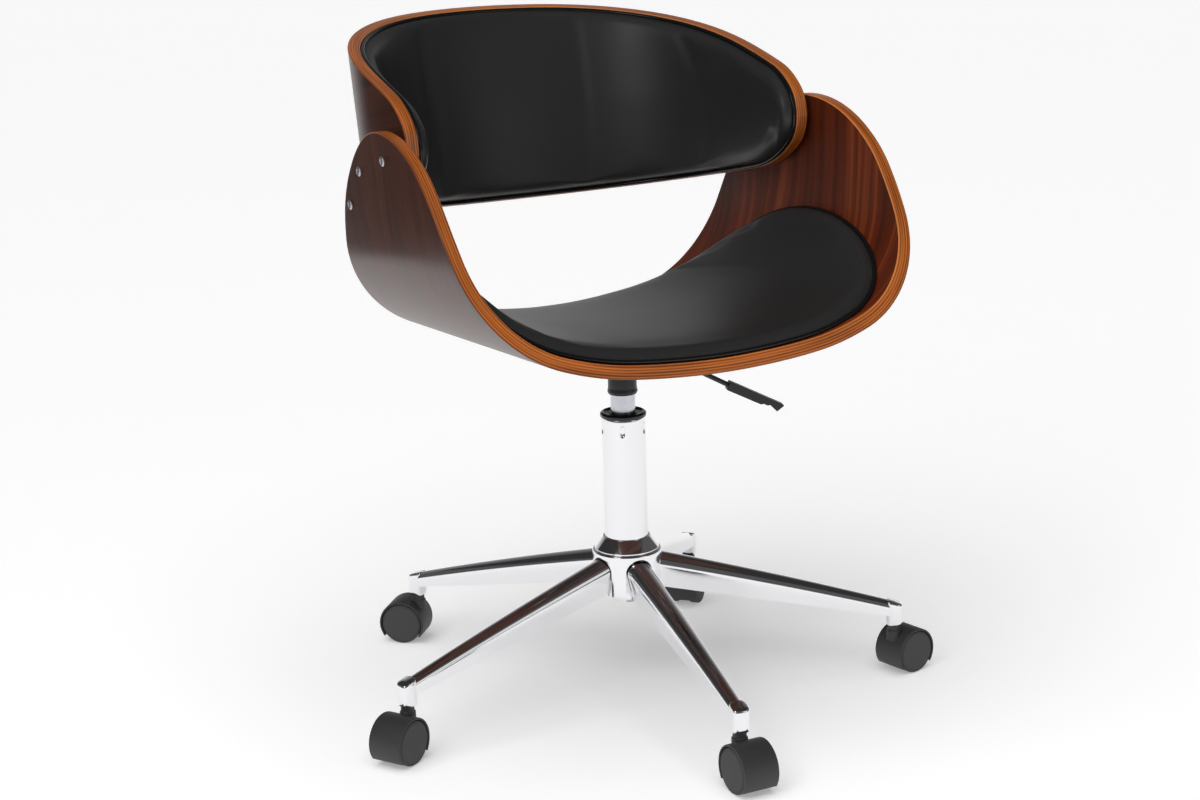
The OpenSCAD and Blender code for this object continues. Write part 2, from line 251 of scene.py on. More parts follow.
def toned(colour: tuple, factor: float) -> tuple[float, float, float, float]:
    """A colour made brighter or darker by a factor."""
    return (*(v * factor for v in colour[:3]), 1.0)


@dataclass(frozen=True)
class Veneer:
    """Straight-grained veneer that follows the panel's bend."""

    name: str
    dark: tuple
    middle: tuple
    light: tuple
    roughness: float
    coat: float
    figure: float = 1.0
    shine: float = 0.5

    def make(self) -> bpy.types.Material:
        """Builds the material.

        Returns:
            The material.
        """
        g = Graph(self.name)
        grain = g.stored("grain")
        along, across = g.axis(grain, 0), g.axis(grain, 1)
        sway = g.noise(g.vector(along * 2.6, across * 5.0, 0.3), 1.0, 2.0)
        lane = across + sway * (0.075 * self.figure)
        broad = g.noise(g.vector(along * 0.9, lane * 34.0, 1.7), 1.0, 3.0)
        line = g.noise(g.vector(along * 1.8, lane * 150.0, 4.1), 1.0, 2.0)
        fibre = g.noise(g.vector(along * 22.0, lane * 1500.0, 2.0), 1.0, 2.0)
        pore = g.noise(g.vector(along * 70.0, lane * 2600.0, 5.0), 1.0, 1.0).step(0.62, 0.72)
        tone = broad.step(0.30, 0.72) * 0.6 + line.step(0.3, 0.7) * 0.4
        colour = g.mix(tone.step(0.0, 0.55), self.dark, self.middle)
        colour = g.mix(tone.step(0.5, 1.0), colour, self.light)
        colour = g.mix(fibre.step(0.35, 0.75) * 0.22, colour, self.dark)
        colour = g.mix(pore * 0.35, colour, self.dark)
        rough = fibre * 0.08 + broad * 0.05 + (self.roughness - 0.06)
        normal = g.bump(fibre * 0.6 + pore * -0.4, 0.25, 0.00015)
        return g.finish({"Base Color": colour, "Roughness": rough, "Normal": normal,
                         "Coat Weight": self.coat, "Coat Roughness": 0.22, "Specular IOR Level": self.shine})


@dataclass(frozen=True)
class PlyEdge:
    """Sanded, stained ply edge, layers in view, with a painted highlight along the inner round."""

    name: str
    light: tuple
    dark: tuple
    layer: float = 2.8 * MM
    sheet: float = 14.0 * MM

    def make(self) -> bpy.types.Material:
        """Builds the material.

        Returns:
            The material.
        """
        g = Graph(self.name)
        grain = g.stored("grain")
        along, across, depth = (g.axis(grain, i) for i in range(3))
        drift = g.noise(g.vector(along * 7.0, across * 7.0, depth * 30.0), 1.0, 2.0)
        place = depth + drift * (0.9 * MM)
        ring = (place * (2 * math.pi / self.layer)).sine() * 0.5 + 0.5
        glue = (place * (2 * math.pi / self.layer) + 1.2).sine().step(0.86, 0.99)
        fibre = g.noise(g.vector(along * 16.0, across * 16.0, depth * 1500.0), 1.0, 2.0)
        cloud = g.noise(g.vector(along * 7.0, across * 7.0, depth * 330.0), 1.0, 2.0)
        tone = ring * 0.22 + fibre * 0.33 + cloud * 0.45
        colour = g.mix(tone.step(0.25, 0.75), self.dark, self.light)
        colour = g.mix(glue * 0.18, colour, self.dark)
        # Painted highlight: a pale line along the inner rounded edge, where the edge would catch the light.
        inner_edge_highlight = 1 - depth.step(0.0, 0.7 * MM)
        colour = g.mix(inner_edge_highlight * 0.35, colour, paint(226, 160, 96))
        outer = depth.step(self.sheet - 1.1 * MM, self.sheet - 0.3 * MM)
        colour = g.mix(outer * 0.6, colour, paint(92, 48, 28))
        normal = g.bump(fibre * 0.5 + ring * 0.5, 0.2, 0.0002)
        rough = cloud * 0.14 + 0.3
        return g.finish({"Base Color": colour, "Roughness": rough, "Normal": normal,
                         "Coat Weight": 0.25, "Coat Roughness": 0.25})


@dataclass(frozen=True)
class Leather:
    """Smooth black artificial leather with a fine pebble."""

    name: str
    colour: tuple
    roughness: float

    def make(self) -> bpy.types.Material:
        """Builds the material.

        Returns:
            The material.
        """
        g = Graph(self.name)
        place = g.local()
        pebble = g.node("ShaderNodeTexVoronoi", {"feature": "SMOOTH_F1"},
                        {"Vector": place, "Scale": 950.0, "Smoothness": 0.6}, "Distance")
        crease = g.noise(place, 260.0, 3.0)
        worn = g.noise(place, 9.0, 2.0)
        colour = g.mix(worn.step(0.3, 0.8) * 0.5, self.colour, toned(self.colour, 1.35))
        rough = worn * 0.08 + crease * 0.06 + (self.roughness - 0.07)
        normal = g.bump(pebble * 0.7 + crease * 0.4, 0.22, 0.00025)
        return g.finish({"Base Color": colour, "Roughness": rough, "Normal": normal,
                         "Specular IOR Level": 0.42})


@dataclass(frozen=True)
class Metal:
    """Bare, plated or brushed metal."""

    name: str
    colour: tuple
    roughness: float
    smudge: float = 0.04
    brushed: float = 0.0

    def make(self) -> bpy.types.Material:
        """Builds the material.

        Returns:
            The material.
        """
        g = Graph(self.name)
        place = g.local()
        haze = g.noise(place, 24.0, 3.0)
        speck = g.noise(g.stretch(place, (1.0, 1.0, 0.04)), 2200.0, 1.0)
        rough = haze.step(0.35, 0.75) * self.smudge + speck * self.brushed + self.roughness
        colour = g.mix(haze * 0.12, self.colour, toned(self.colour, 0.86))
        normal = g.bump(haze * 0.3 + speck * 0.3, 0.02 + self.brushed * 0.6, 0.0001)
        return g.finish({"Base Color": colour, "Roughness": rough, "Metallic": 1.0, "Normal": normal})


@dataclass(frozen=True)
class Plastic:
    """Moulded or painted surface with a fine spark-eroded texture."""

    name: str
    colour: tuple
    roughness: float
    texture: float = 0.2

    def make(self) -> bpy.types.Material:
        """Builds the material.

        Returns:
            The material.
        """
        g = Graph(self.name)
        place = g.local()
        fine = g.noise(place, 2400.0, 2.0)
        cloud = g.noise(place, 45.0, 3.0)
        dust = g.noise(place, 700.0, 1.0).step(0.66, 0.8)
        colour = g.mix(cloud * 0.35, self.colour, toned(self.colour, 1.4))
        colour = g.mix(dust * 0.05, colour, paint(150, 148, 144))
        rough = cloud * 0.1 + fine * 0.06 + (self.roughness - 0.08)
        normal = g.bump(fine, self.texture, 0.00008)
        return g.finish({"Base Color": colour, "Roughness": rough, "Normal": normal})


@dataclass(frozen=True)
class Backdrop:
    """Faintly clouded, glowing surface of the studio."""

    name: str
    first: tuple
    second: tuple
    cells: float
    cloud: float
    roughness: float
    shine: float
    glow: float

    def make(self) -> bpy.types.Material:
        """Builds the material.

        Returns:
            The material.
        """
        g = Graph(self.name)
        shade = g.mix(g.noise(g.local(), self.cells, 1.0) * self.cloud, self.first, self.second)
        return g.finish({"Base Color": shade, "Roughness": self.roughness,
                         "Specular IOR Level": self.shine,
                         "Emission Color": shade, "Emission Strength": self.glow})


class Finish(Enum):
    """The chair's finishes."""

    INNER_VENEER = Veneer("walnut_inner", paint(66, 27, 13), paint(90, 36, 16), paint(128, 58, 27),
                          roughness=0.42, coat=0.0, figure=0.8, shine=0.18)
    OUTER_VENEER = Veneer("walnut_outer", paint(46, 22, 15), paint(66, 34, 23), paint(88, 46, 31),
                          roughness=0.30, coat=0.0, figure=0.6, shine=0.25)
    PLY_EDGE = PlyEdge("ply_edge", paint(204, 112, 40), paint(86, 38, 12))
    LEATHER = Leather("black_leather", paint(12, 12, 13), 0.38)
    # The piping is a little lighter than the pads' leather as a painted highlight on its bead.
    PIPING = Leather("piping_leather", paint(16, 16, 17), 0.24)
    CHROME = Metal("chrome", (0.68, 0.71, 0.75, 1), 0.03)
    SILVER = Metal("silver_tube", (0.62, 0.63, 0.68, 1), 0.22, smudge=0.05, brushed=0.06)
    STEEL = Metal("plain_steel", (0.52, 0.52, 0.54, 1), 0.24, smudge=0.08, brushed=0.05)
    SCREW = Metal("screw_steel", (0.66, 0.66, 0.68, 1), 0.16, smudge=0.08, brushed=0.04)
    # Black paint on the lever and plate, also used as painted shade inside the screw sockets.
    BLACK_STEEL = Plastic("black_paint_and_socket_shade", paint(30, 30, 31), 0.42, texture=0.25)
    BUSH = Plastic("bush_plastic", paint(14, 14, 15), 0.2, texture=0.05)
    SLEEVE = Plastic("sleeve_plastic", paint(20, 20, 21), 0.38, texture=0.15)
    HANDLE = Plastic("handle_plastic", paint(30, 30, 31), 0.46, texture=0.25)
    HOOD = Plastic("hood_plastic", paint(46, 46, 47), 0.52, texture=0.35)
    WHEEL = Plastic("wheel_plastic", paint(58, 57, 57), 0.5, texture=0.3)
    RUBBER = Plastic("bump_rubber", paint(24, 24, 24), 0.75, texture=0.4)

    def material(self) -> bpy.types.Material:
        """The finish's material, made once."""
        found = bpy.data.materials.get(self.value.name)
        return found or self.value.make()


# ---- mesh tools -------------------------------------------------------------------


def put(name: str, data: bpy.types.ID) -> bpy.types.Object:
    """Makes an object from its data and links it to the scene.

    Args:
        name: The object's name.
        data: Its mesh, light or camera.

    Returns:
        The new object.
    """
    made = bpy.data.objects.new(name, data)
    bpy.context.scene.collection.objects.link(made)
    return made


def weld(mesh: bpy.types.Mesh, merge: float, sharp: float | None = None) -> None:
    """Merges a mesh's seams, turns its faces outward and shades them smooth.

    Args:
        mesh: The mesh.
        merge: Distance within which points merge.
        sharp: Angle in degrees past which an edge is sharp, or None to keep all smooth.
    """
    bm = bmesh.new()
    bm.from_mesh(mesh)
    bmesh.ops.remove_doubles(bm, verts=bm.verts, dist=merge)
    bmesh.ops.dissolve_degenerate(bm, edges=bm.edges, dist=merge / 2)
    bmesh.ops.recalc_face_normals(bm, faces=bm.faces)
    for f in bm.faces:
        f.smooth = True
    if sharp is not None:
        limit = math.radians(sharp)
        for e in bm.edges:
            e.smooth = len(e.link_faces) == 2 and e.calc_face_angle(0.0) < limit
    bm.to_mesh(mesh)
    bm.free()


def add_mesh(name: str, points: Sequence, faces: Sequence, finish: Finish,
             sharp: float = 38.0) -> bpy.types.Object:
    """Makes a smooth-shaded object whose corners over an angle stay sharp.

    Args:
        name: The object's name.
        points: Its vertices.
        faces: Its faces as vertex indices.
        finish: Its finish.
        sharp: Angle in degrees past which an edge is sharp.

    Returns:
        The new object.
    """
    mesh = bpy.data.meshes.new(name)
    mesh.from_pydata([tuple(p) for p in points], [], [tuple(f) for f in faces])
    weld(mesh, 2e-6, sharp)
    mesh.materials.append(finish.material())
    return put(name, mesh)


def grid_faces(rows: int, columns: int, wrap: bool = False, start: int = 0) -> list:
    """Quads of a grid of points stored row by row.

    Args:
        rows: Number of rows of points.
        columns: Number of points in a row.
        wrap: Whether each row closes on itself.
        start: Index of the grid's first point.

    Returns:
        The quads.
    """
    faces = []
    for i in range(rows - 1):
        for j in range(columns if wrap else columns - 1):
            k = (j + 1) % columns
            a, b = start + i * columns, start + (i + 1) * columns
            faces.append((a + j, a + k, b + k, b + j))
    return faces


def turned_faces(segments: int, rows: int, closed: bool) -> list:
    """Quads between profiles that stand in a full circle.

    Args:
        segments: Number of profiles.
        rows: Number of points in a profile.
        closed: Whether each profile is a closed loop.

    Returns:
        The quads.
    """
    faces = []
    for k in range(segments):
        a, b = k * rows, (k + 1) % segments * rows
        for i in range(rows if closed else rows - 1):
            j = (i + 1) % rows
            faces.append((a + i, b + i, b + j, a + j))
    return faces


def fillet(corners: Sequence[Sequence[float]], steps: int = 4, closed: bool = False) -> list[Point]:
    """Rounds a polyline's corners.

    Args:
        corners: Points as (x, y) or (x, y, radius).
        steps: Segments in each round.
        closed: Whether the line closes on itself.

    Returns:
        The rounded line's points.
    """
    out = []
    n = len(corners)
    for i, c in enumerate(corners):
        p = np.array(c[:2], float)
        radius = c[2] if len(c) > 2 else 0.0
        if radius <= 0 or (not closed and i in (0, n - 1)):
            out.append(tuple(p))
            continue
        a = np.array(corners[i - 1][:2], float) - p
        b = np.array(corners[(i + 1) % n][:2], float) - p
        la, lb = np.linalg.norm(a), np.linalg.norm(b)
        a, b = a / la, b / lb
        half = math.acos(max(-1.0, min(1.0, float(a @ b)))) / 2
        cut = min(radius / math.tan(half), 0.49 * la, 0.49 * lb)
        radius = cut * math.tan(half)
        middle = p + (a + b) / np.linalg.norm(a + b) * radius / math.sin(half)
        first, last = p + a * cut - middle, p + b * cut - middle
        turn = math.atan2(first[0] * last[1] - first[1] * last[0], float(first @ last))
        for k in range(steps + 1):
            t = turn * k / steps
            c_, s_ = math.cos(t), math.sin(t)
            out.append(tuple(middle + (first[0] * c_ - first[1] * s_, first[0] * s_ + first[1] * c_)))
    return out


def lathe(name: str, profile: Sequence, finish: Finish, segments: int = 96, closed: bool = False,
          place: Matrix | None = None) -> bpy.types.Object:
    """Turns a profile about Z.

    Args:
        name: The object's name.
        profile: Corners as (radius, height) or (radius, height, rounding).
        finish: The object's finish.
        segments: Number of sides.
        closed: Whether the profile is a closed loop.
        place: Where the turned piece goes.

    Returns:
        The new object.
    """
    line = fillet(profile, closed=closed)
    rows = len(line)
    points = []
    for k in range(segments):
        a = 2 * math.pi * k / segments
        points += [(r * math.cos(a), r * math.sin(a), z) for r, z in line]
    made = add_mesh(name, points, turned_faces(segments, rows, closed), finish)
    if place is not None:
        made.data.transform(place)
    return made


def tube(name: str, line: Array, radius: float | Array, finish: Finish, closed: bool = False,
         sides: int = 12) -> bpy.types.Object:
    """Sweeps a circle along a line.

    Args:
        name: The object's name.
        line: Points of the centre line.
        radius: Radius, or one for each point.
        finish: The object's finish.
        closed: Whether the line closes on itself.
        sides: Number of sides.

    Returns:
        The new object.
    """
    n = len(line)
    if closed:
        ahead, behind = np.roll(line, -1, 0), np.roll(line, 1, 0)
        tangent = ahead - behind
    else:
        tangent = np.gradient(line, axis=0)
    tangent /= np.linalg.norm(tangent, axis=1)[:, None]
    normal = np.cross(tangent[0], (0.3, 0.2, 0.93))
    normals = []
    for t in tangent:
        normal = normal - t * (normal @ t)
        normal /= np.linalg.norm(normal)
        normals.append(normal)
    normals = np.array(normals)
    radii = np.full(n, radius) if np.isscalar(radius) else np.asarray(radius)
    across = np.cross(tangent, normals)
    angles = np.linspace(0, 2 * math.pi, sides, endpoint=False)
    ring = normals[:, None] * np.cos(angles)[None, :, None] + across[:, None] * np.sin(angles)[None, :, None]
    points = (line[:, None] + ring * radii[:, None, None]).reshape(-1, 3)
    faces = grid_faces(n, sides, True)
    if closed:
        last = (n - 1) * sides
        seam = points[last:last + sides]
        twist = int(np.argmin([np.linalg.norm(np.roll(points[:sides], -s, 0) - seam) for s in range(sides)]))
        for j in range(sides):
            k = (j + 1) % sides
            faces.append((last + j, last + k, (k + twist) % sides, (j + twist) % sides))
    else:
        faces += [tuple(range(sides)), tuple(range((n - 1) * sides, n * sides))]
    return add_mesh(name, points, faces, finish)


def prism(name: str, outline: Sequence[Point], low: float, high: float, finish: Finish, place: Matrix,
          bevel: float = 0.0) -> bpy.types.Object:
    """Extrudes a closed outline.

    Args:
        name: The object's name.
        outline: The outline's points.
        low: Start of the extrusion along Z.
        high: End of the extrusion along Z.
        finish: The object's finish.
        place: Where the prism goes.
        bevel: Rounding of its edges.

    Returns:
        The new object.
    """
    n = len(outline)
    points = [(x, y, z) for z in (low, high) for x, y in outline]
    faces = [tuple(range(n)), tuple(range(n, 2 * n))]
    faces += [(i, (i + 1) % n, n + (i + 1) % n, n + i) for i in range(n)]
    made = add_mesh(name, points, faces, finish, 30.0)
    made.data.transform(place)
    if bevel:
        round_edges(made, bevel)
    return made


def apply_all(piece: bpy.types.Object) -> bpy.types.Object:
    """Applies a piece's modifiers.

    Args:
        piece: The piece.

    Returns:
        The same piece.
    """
    graph = bpy.context.evaluated_depsgraph_get()
    mesh = bpy.data.meshes.new_from_object(piece.evaluated_get(graph))
    piece.modifiers.clear()
    old, name = piece.data, piece.data.name
    piece.data = mesh
    bpy.data.meshes.remove(old)
    mesh.name = name
    return piece


def round_edges(piece: bpy.types.Object, width: float, segments: int = 3) -> bpy.types.Object:
    """Rounds a piece's sharp edges and evens its shading.

    Args:
        piece: The piece.
        width: Width of the round.
        segments: Its segments.

    Returns:
        The same piece.
    """
    bevel = piece.modifiers.new("round", "BEVEL")
    bevel.width = width
    bevel.segments = segments
    bevel.limit_method = "ANGLE"
    bevel.angle_limit = math.radians(32)
    bevel.harden_normals = True
    for polygon in piece.data.polygons:
        polygon.use_smooth = True
    return apply_all(piece)


def cut(piece: bpy.types.Object, cutters: Iterable[bpy.types.Object]) -> bpy.types.Object:
    """Takes cutters out of a piece and removes them.

    Args:
        piece: The piece.
        cutters: The shapes to take away.

    Returns:
        The same piece.
    """
    for cutter in cutters:
        taken = piece.modifiers.new("cut", "BOOLEAN")
        taken.object = cutter
        taken.solver = "EXACT"
        apply_all(piece)
        bpy.data.objects.remove(cutter)
    return piece


def join(name: str, pieces: Sequence[bpy.types.Object]) -> bpy.types.Object:
    """Joins pieces into the first one.

    Args:
        name: The joined object's name.
        pieces: The pieces.

    Returns:
        The joined object.
    """
    with bpy.context.temp_override(active_object=pieces[0], selected_editable_objects=list(pieces)):
        bpy.ops.object.join()
    pieces[0].name = name
    return pieces[0]


def hand_over(piece: bpy.types.Object, body: str, slot: str, *nodes: str) -> bpy.types.Object:
    """Puts a piece on its body and hides and logs the nodes that it stands for.

    Args:
        piece: The piece.
        body: The body that carries it.
        slot: The record's finish slot; not used.
        nodes: The nodes that it replaces.

    Returns:
        The same piece.
    """
    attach(piece, body)
    if nodes:
        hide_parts(*nodes)
    LOG.info("%s rides on %s and stands for %s", piece.name, body, ", ".join(nodes) or "nothing")
    return piece


# ---- bent panels ------------------------------------------------------------------


@dataclass(frozen=True)
class Bend:
    """A chain of tangent arcs, each a signed radius and the heading at its end."""

    arcs: tuple[Point, ...]
    start: Point = (0.0, 0.0)
    heading: float = 0.0

    def trace(self, inset: float = 0.0) -> tuple[Array, Array, Array]:
        """Follows the chain at an offset to the right of its heading.

        Args:
            inset: The offset, inward on a clockwise outline.

        Returns:
            Points, headings in radians and lengths along the chain.
        """
        a = math.radians(self.heading)
        p = np.array(self.start) + inset * np.array([math.sin(a), -math.cos(a)])
        points, headings, lengths = [p], [a], [0.0]
        for radius, end in self.arcs:
            b, r = math.radians(end), radius + inset
            centre = p + r * np.array([-math.sin(a), math.cos(a)])
            n = max(6, math.ceil(abs(radius * (b - a)) / MM))
            for h in np.linspace(a, b, n + 1)[1:]:
                points.append(centre + r * np.array([math.sin(h), -math.cos(h)]))
                headings.append(h)
                lengths.append(lengths[-1] + abs(radius * (b - a)) / n)
            p, a = points[-1], b
        return np.array(points), np.array(headings), np.array(lengths)


class Form:
    """A bent surface with an outline, placed by length along the bend and place across it."""

    bend: Bend

    def __post_init__(self) -> None:
        """Traces the bend once."""
        self.line, self.turn, self.run = self.bend.trace()
        self.traced: dict[float, tuple[Array, Array]] = {}

    def section(self, along: Array, offset: Array | float) -> tuple[Array, Array]:
        """Place in the bend's plane.

        Args:
            along: Length along the bend from its middle, either way.
            offset: Distance outward from the inner face.

        Returns:
            Distance out from the middle plane and depth or height in the bend's plane.
        """
        s = np.abs(along)
        h = np.interp(s, self.run, self.turn)
        out = np.interp(s, self.run, self.line[:, 0]) + offset * np.sin(h)
        rise = np.interp(s, self.run, self.line[:, 1]) - offset * np.cos(h)
        return out, rise

    def reach(self, offset: float, inset: float) -> float:
        """Length along the bend at which the outline closes."""
        raise NotImplementedError

    def limits(self, along: Array, offset: float, inset: float) -> tuple[Array, Array]:
        """Lowest and highest place across at each length."""
        raise NotImplementedError

    def place(self, along: Array, across: Array, offset: Array | float) -> Array:
        """World points from length, place across and offset outward."""
        raise NotImplementedError

    def columns(self, half: int, offset: float, inset: float) -> Array:
        """Lengths of a grid's columns, closer together towards the tips.

        Args:
            half: Number of columns on each side of the middle.
            offset: Offset of the surface.
            inset: Inset of the outline.

        Returns:
            The signed lengths.
        """
        side = self.reach(offset, inset) * np.sin(np.linspace(0, math.pi / 2, half + 1))
        return np.concatenate([-side[::-1], side[1:]])

    def sheet(self, half: int, rows: Array, offset: float, inset: float) -> tuple[Array, Array]:
        """A grid of points over the outline at one offset.

        Args:
            half: Number of columns on each side of the middle.
            rows: Places from 0 to 1 between the outline's sides.
            offset: Offset of the surface.
            inset: Inset of the outline.

        Returns:
            The points and their grain coordinates.
        """
        s = self.columns(half, offset, inset)
        low, high = self.limits(s, offset, inset)
        w = low[:, None] + (high - low)[:, None] * rows[None, :]
        s = np.repeat(s[:, None], len(rows), 1)
        grain = np.stack([s, w, np.full_like(s, offset)], -1)
        return self.place(s, w, offset), grain

    def rim(self, half: int, offset: float, inset: float) -> Array:
        """The outline's closed loop at one offset and inset."""
        return around(self.sheet(half, SIDES, offset, inset)[0])


@dataclass
class SeatForm(Form):
    """The pan and the two arms in one bend."""

    height: float = 418 * MM
    tilt: float = math.radians(4)
    toe_in: float = math.radians(3.6)
    toe_run: float = 110 * MM
    bend: Bend = Bend(((720 * MM, 8), (340 * MM, 19), (127 * MM, 82), (700 * MM, 88), (-750 * MM, 77)))
    outline: Bend = Bend(((-743 * MM, 55), (-183 * MM, 5), (-144 * MM, -20), (-197 * MM, -63),
                          (-521 * MM, -88)), (-228 * MM, 0.0), 69.9)
    below: float = 40 * MM

    def branches(self, inset: float) -> tuple[Array, Array]:
        """The outline's front branch going up and rear branch going up, as (across, height).

        Args:
            inset: Inset of the outline.

        Returns:
            The two branches' points.
        """
        if inset not in self.traced:
            points = self.outline.trace(inset)[0]
            top = int(np.argmax(points[:, 1]))
            run = self.below / math.tan(math.radians(self.outline.heading))
            front = np.concatenate([[points[0] - (run, self.below)], points[:top + 1]])
            rear = np.concatenate([points[top:], [points[-1] - (0, self.below)]])[::-1]
            self.traced[inset] = (front, rear)
        return self.traced[inset]

    def reach(self, offset: float, inset: float) -> float:
        """Length along the bend at which the outline closes.

        Args:
            offset: Distance outward from the inner face.
            inset: Inset of the outline.

        Returns:
            The length.
        """
        top = self.branches(inset)[0][-1, 1]
        _, rise = self.section(self.run, offset)
        return float(np.interp(top, rise, self.run))

    def limits(self, along: Array, offset: float, inset: float) -> tuple[Array, Array]:
        """Lowest and highest place across at each length.

        Args:
            along: Signed lengths along the bend.
            offset: Distance outward from the inner face.
            inset: Inset of the outline.

        Returns:
            The lowest and highest places.
        """
        front, rear = self.branches(inset)
        _, rise = self.section(along, offset)
        return np.interp(rise, front[:, 1], front[:, 0]), np.interp(rise, rear[:, 1], rear[:, 0])

    def place(self, along: Array, across: Array, offset: Array | float) -> Array:
        """World points from length, place across and offset outward.

        Args:
            along: Signed lengths along the bend.
            across: Places across the bend.
            offset: Distance outward from the inner face.

        Returns:
            The points.
        """
        out, rise = self.section(along, offset)
        share = np.clip(np.abs(along) / self.toe_run, 0, 1)
        toe = self.toe_in * share * share * (3 - 2 * share)
        x = np.sign(along) * (out - across * np.sin(toe)) / np.cos(toe)
        c, s = math.cos(self.tilt), math.sin(self.tilt)
        return np.stack([x, across * c + rise * s, rise * c - across * s + self.height], -1)


@dataclass
class SeatPadForm(SeatForm):
    """The seat pad's outline on the seat's bend: a circle seen from the side."""

    middle: Point = (-15 * MM, -123 * MM)
    radius: float = 243 * MM

    def reach(self, offset: float, inset: float) -> float:
        """Length along the bend at which the outline closes."""
        return float(np.interp(self.middle[1] + self.radius - inset, self.line[:, 1], self.run))

    def limits(self, along: Array, offset: float, inset: float) -> tuple[Array, Array]:
        """Lowest and highest place across at each length.

        Args:
            along: Signed lengths along the bend.
            offset: Distance outward from the inner face; not used.
            inset: Inset of the outline.

        Returns:
            The lowest and highest places.
        """
        _, rise = self.section(along, 0.0)
        half = np.sqrt(np.maximum((self.radius - inset) ** 2 - (rise - self.middle[1]) ** 2, 0))
        return self.middle[0] - half, self.middle[0] + half


@dataclass
class BackForm(Form):
    """The back shell's bend, seen from above, and its side outline."""

    depth: float = 294 * MM
    lean: float = math.radians(11.4)
    lean_height: float = 600 * MM
    margin: float = 0.0
    bend: Bend = Bend(((330 * MM, 12.5), (205 * MM, 80), (320 * MM, 87.5), (1500 * MM, 91)))
    outline: Bend = Bend(((-150 * MM, 150), (-46 * MM, 55), (-100 * MM, 28), (-2000 * MM, 20)),
                         (85 * MM, -8 * MM), 180)

    def branches(self, inset: float) -> tuple[Array, Array]:
        """The outline's lower and upper branches going back, as (depth, height).

        Args:
            inset: Inset of the outline.

        Returns:
            The two branches' points.
        """
        if inset not in self.traced:
            points = self.outline.trace(inset + self.margin)[0]
            tip = int(np.argmin(points[:, 0]))
            lower = np.concatenate([[points[0] + (0.4, 0)], points[:tip + 1]])[::-1]
            rise = math.tan(math.radians(self.outline.arcs[-1][1]))
            upper = np.concatenate([points[tip:], [points[-1] + (0.4, 0.4 * rise)]])
            self.traced[inset] = (lower, upper)
        return self.traced[inset]

    def reach(self, offset: float, inset: float) -> float:
        """Length along the bend at which the outline closes."""
        _, forward = self.section(self.run, offset)
        return float(np.interp(self.depth - self.branches(inset)[1][0, 0], forward, self.run))

    def limits(self, along: Array, offset: float, inset: float) -> tuple[Array, Array]:
        """Lowest and highest place across at each length.

        Args:
            along: Signed lengths along the bend.
            offset: Distance outward from the inner face.
            inset: Inset of the outline.

        Returns:
            The lowest and highest places.
        """
        lower, upper = self.branches(inset)
        back = self.depth - self.section(along, offset)[1]
        return np.interp(back, lower[:, 0], lower[:, 1]), np.interp(back, upper[:, 0], upper[:, 1])

    def place(self, along: Array, across: Array, offset: Array | float) -> Array:
        """World points from length, place across and offset outward.

        Args:
            along: Signed lengths along the bend.
            across: Places across the bend.
            offset: Distance outward from the inner face.

        Returns:
            The points.
        """
        out, forward = self.section(along, offset)
        back = self.depth - forward
        c, s = math.cos(self.lean), math.sin(self.lean)
        return np.stack([np.sign(along) * out, back * c + across * s,
                         across * c - back * s + self.lean_height], -1)


def around(grid: Array) -> Array:
    """The closed loop around a grid of two rows, from its low side to its high side."""
    return np.concatenate([grid[:, 0], grid[-2:0:-1, 1]])


def eased(count: int) -> Array:
    """Places from 0 to 1 that lie closer together towards both ends."""
    return 0.5 - 0.5 * np.cos(np.linspace(0, math.pi, count + 1))


@dataclass
class PlyShell:
    """A bent plywood shell with veneered faces and a rounded, layered edge."""

    name: str
    node: str
    form: Form
    sheet: float = 14 * MM
    round: float = 1.6 * MM
    half: int = 120
    across: int = 44

    def build(self) -> bpy.types.Object:
        """Builds the shell's mesh with its grain coordinates.

        Returns:
            The new object.
        """
        turns = np.linspace(0, math.pi / 2, 5)
        insets = self.round * (1 - np.sin(turns))
        depths = self.round * (1 - np.cos(turns))
        layers = list(zip(depths, insets))
        layers += [(self.sheet - d, i) for d, i in reversed(layers)]
        rows = 0.35 * eased(self.across) + 0.65 * np.linspace(0, 1, self.across + 1)
        points, grains, faces, finishes = [], [], [], []
        count = 0
        for offset, kind in ((0.0, 0), (self.sheet, 1)):
            p, g = self.form.sheet(self.half, rows, offset, self.round)
            points.append(p.reshape(-1, 3))
            grains.append(g.reshape(-1, 3))
            quads = grid_faces(p.shape[0], p.shape[1], False, count)
            faces += quads
            finishes += [kind] * len(quads)
            count += p.shape[0] * p.shape[1]
        for depth, inset in layers:
            p, g = self.form.sheet(self.half, SIDES, float(depth), float(inset))
            points.append(around(p))
            grains.append(around(g))
        quads = grid_faces(len(layers), len(points[-1]), True, count)
        faces += quads
        finishes += [2] * len(quads)
        return self.assemble(np.concatenate(points), np.concatenate(grains), faces, finishes)

    def assemble(self, points: Array, grain: Array, faces: list, finishes: list) -> bpy.types.Object:
        """Makes the mesh and keeps finishes and grain through the merging of its seams.

        Args:
            points: All points.
            grain: Grain coordinates of all points.
            faces: Faces as indices.
            finishes: Finish index of each face.

        Returns:
            The shell.
        """
        mesh = bpy.data.meshes.new(self.name)
        mesh.from_pydata([tuple(p) for p in points], [], faces)
        for finish in (Finish.INNER_VENEER, Finish.OUTER_VENEER, Finish.PLY_EDGE):
            mesh.materials.append(finish.material())
        mesh.polygons.foreach_set("material_index", finishes)
        layer = mesh.attributes.new("grain", "FLOAT_VECTOR", "POINT")
        layer.data.foreach_set("vector", grain.astype(np.float32).ravel())
        weld(mesh, 4e-6)
        made = put(self.name, mesh)
        made.modifiers.new("shade", "WEIGHTED_NORMAL")
        return apply_all(made)

    def dress(self) -> None:
        """Builds the shell and puts it on the seat."""
        hand_over(self.build(), "seat", "walnut_ply", self.node)


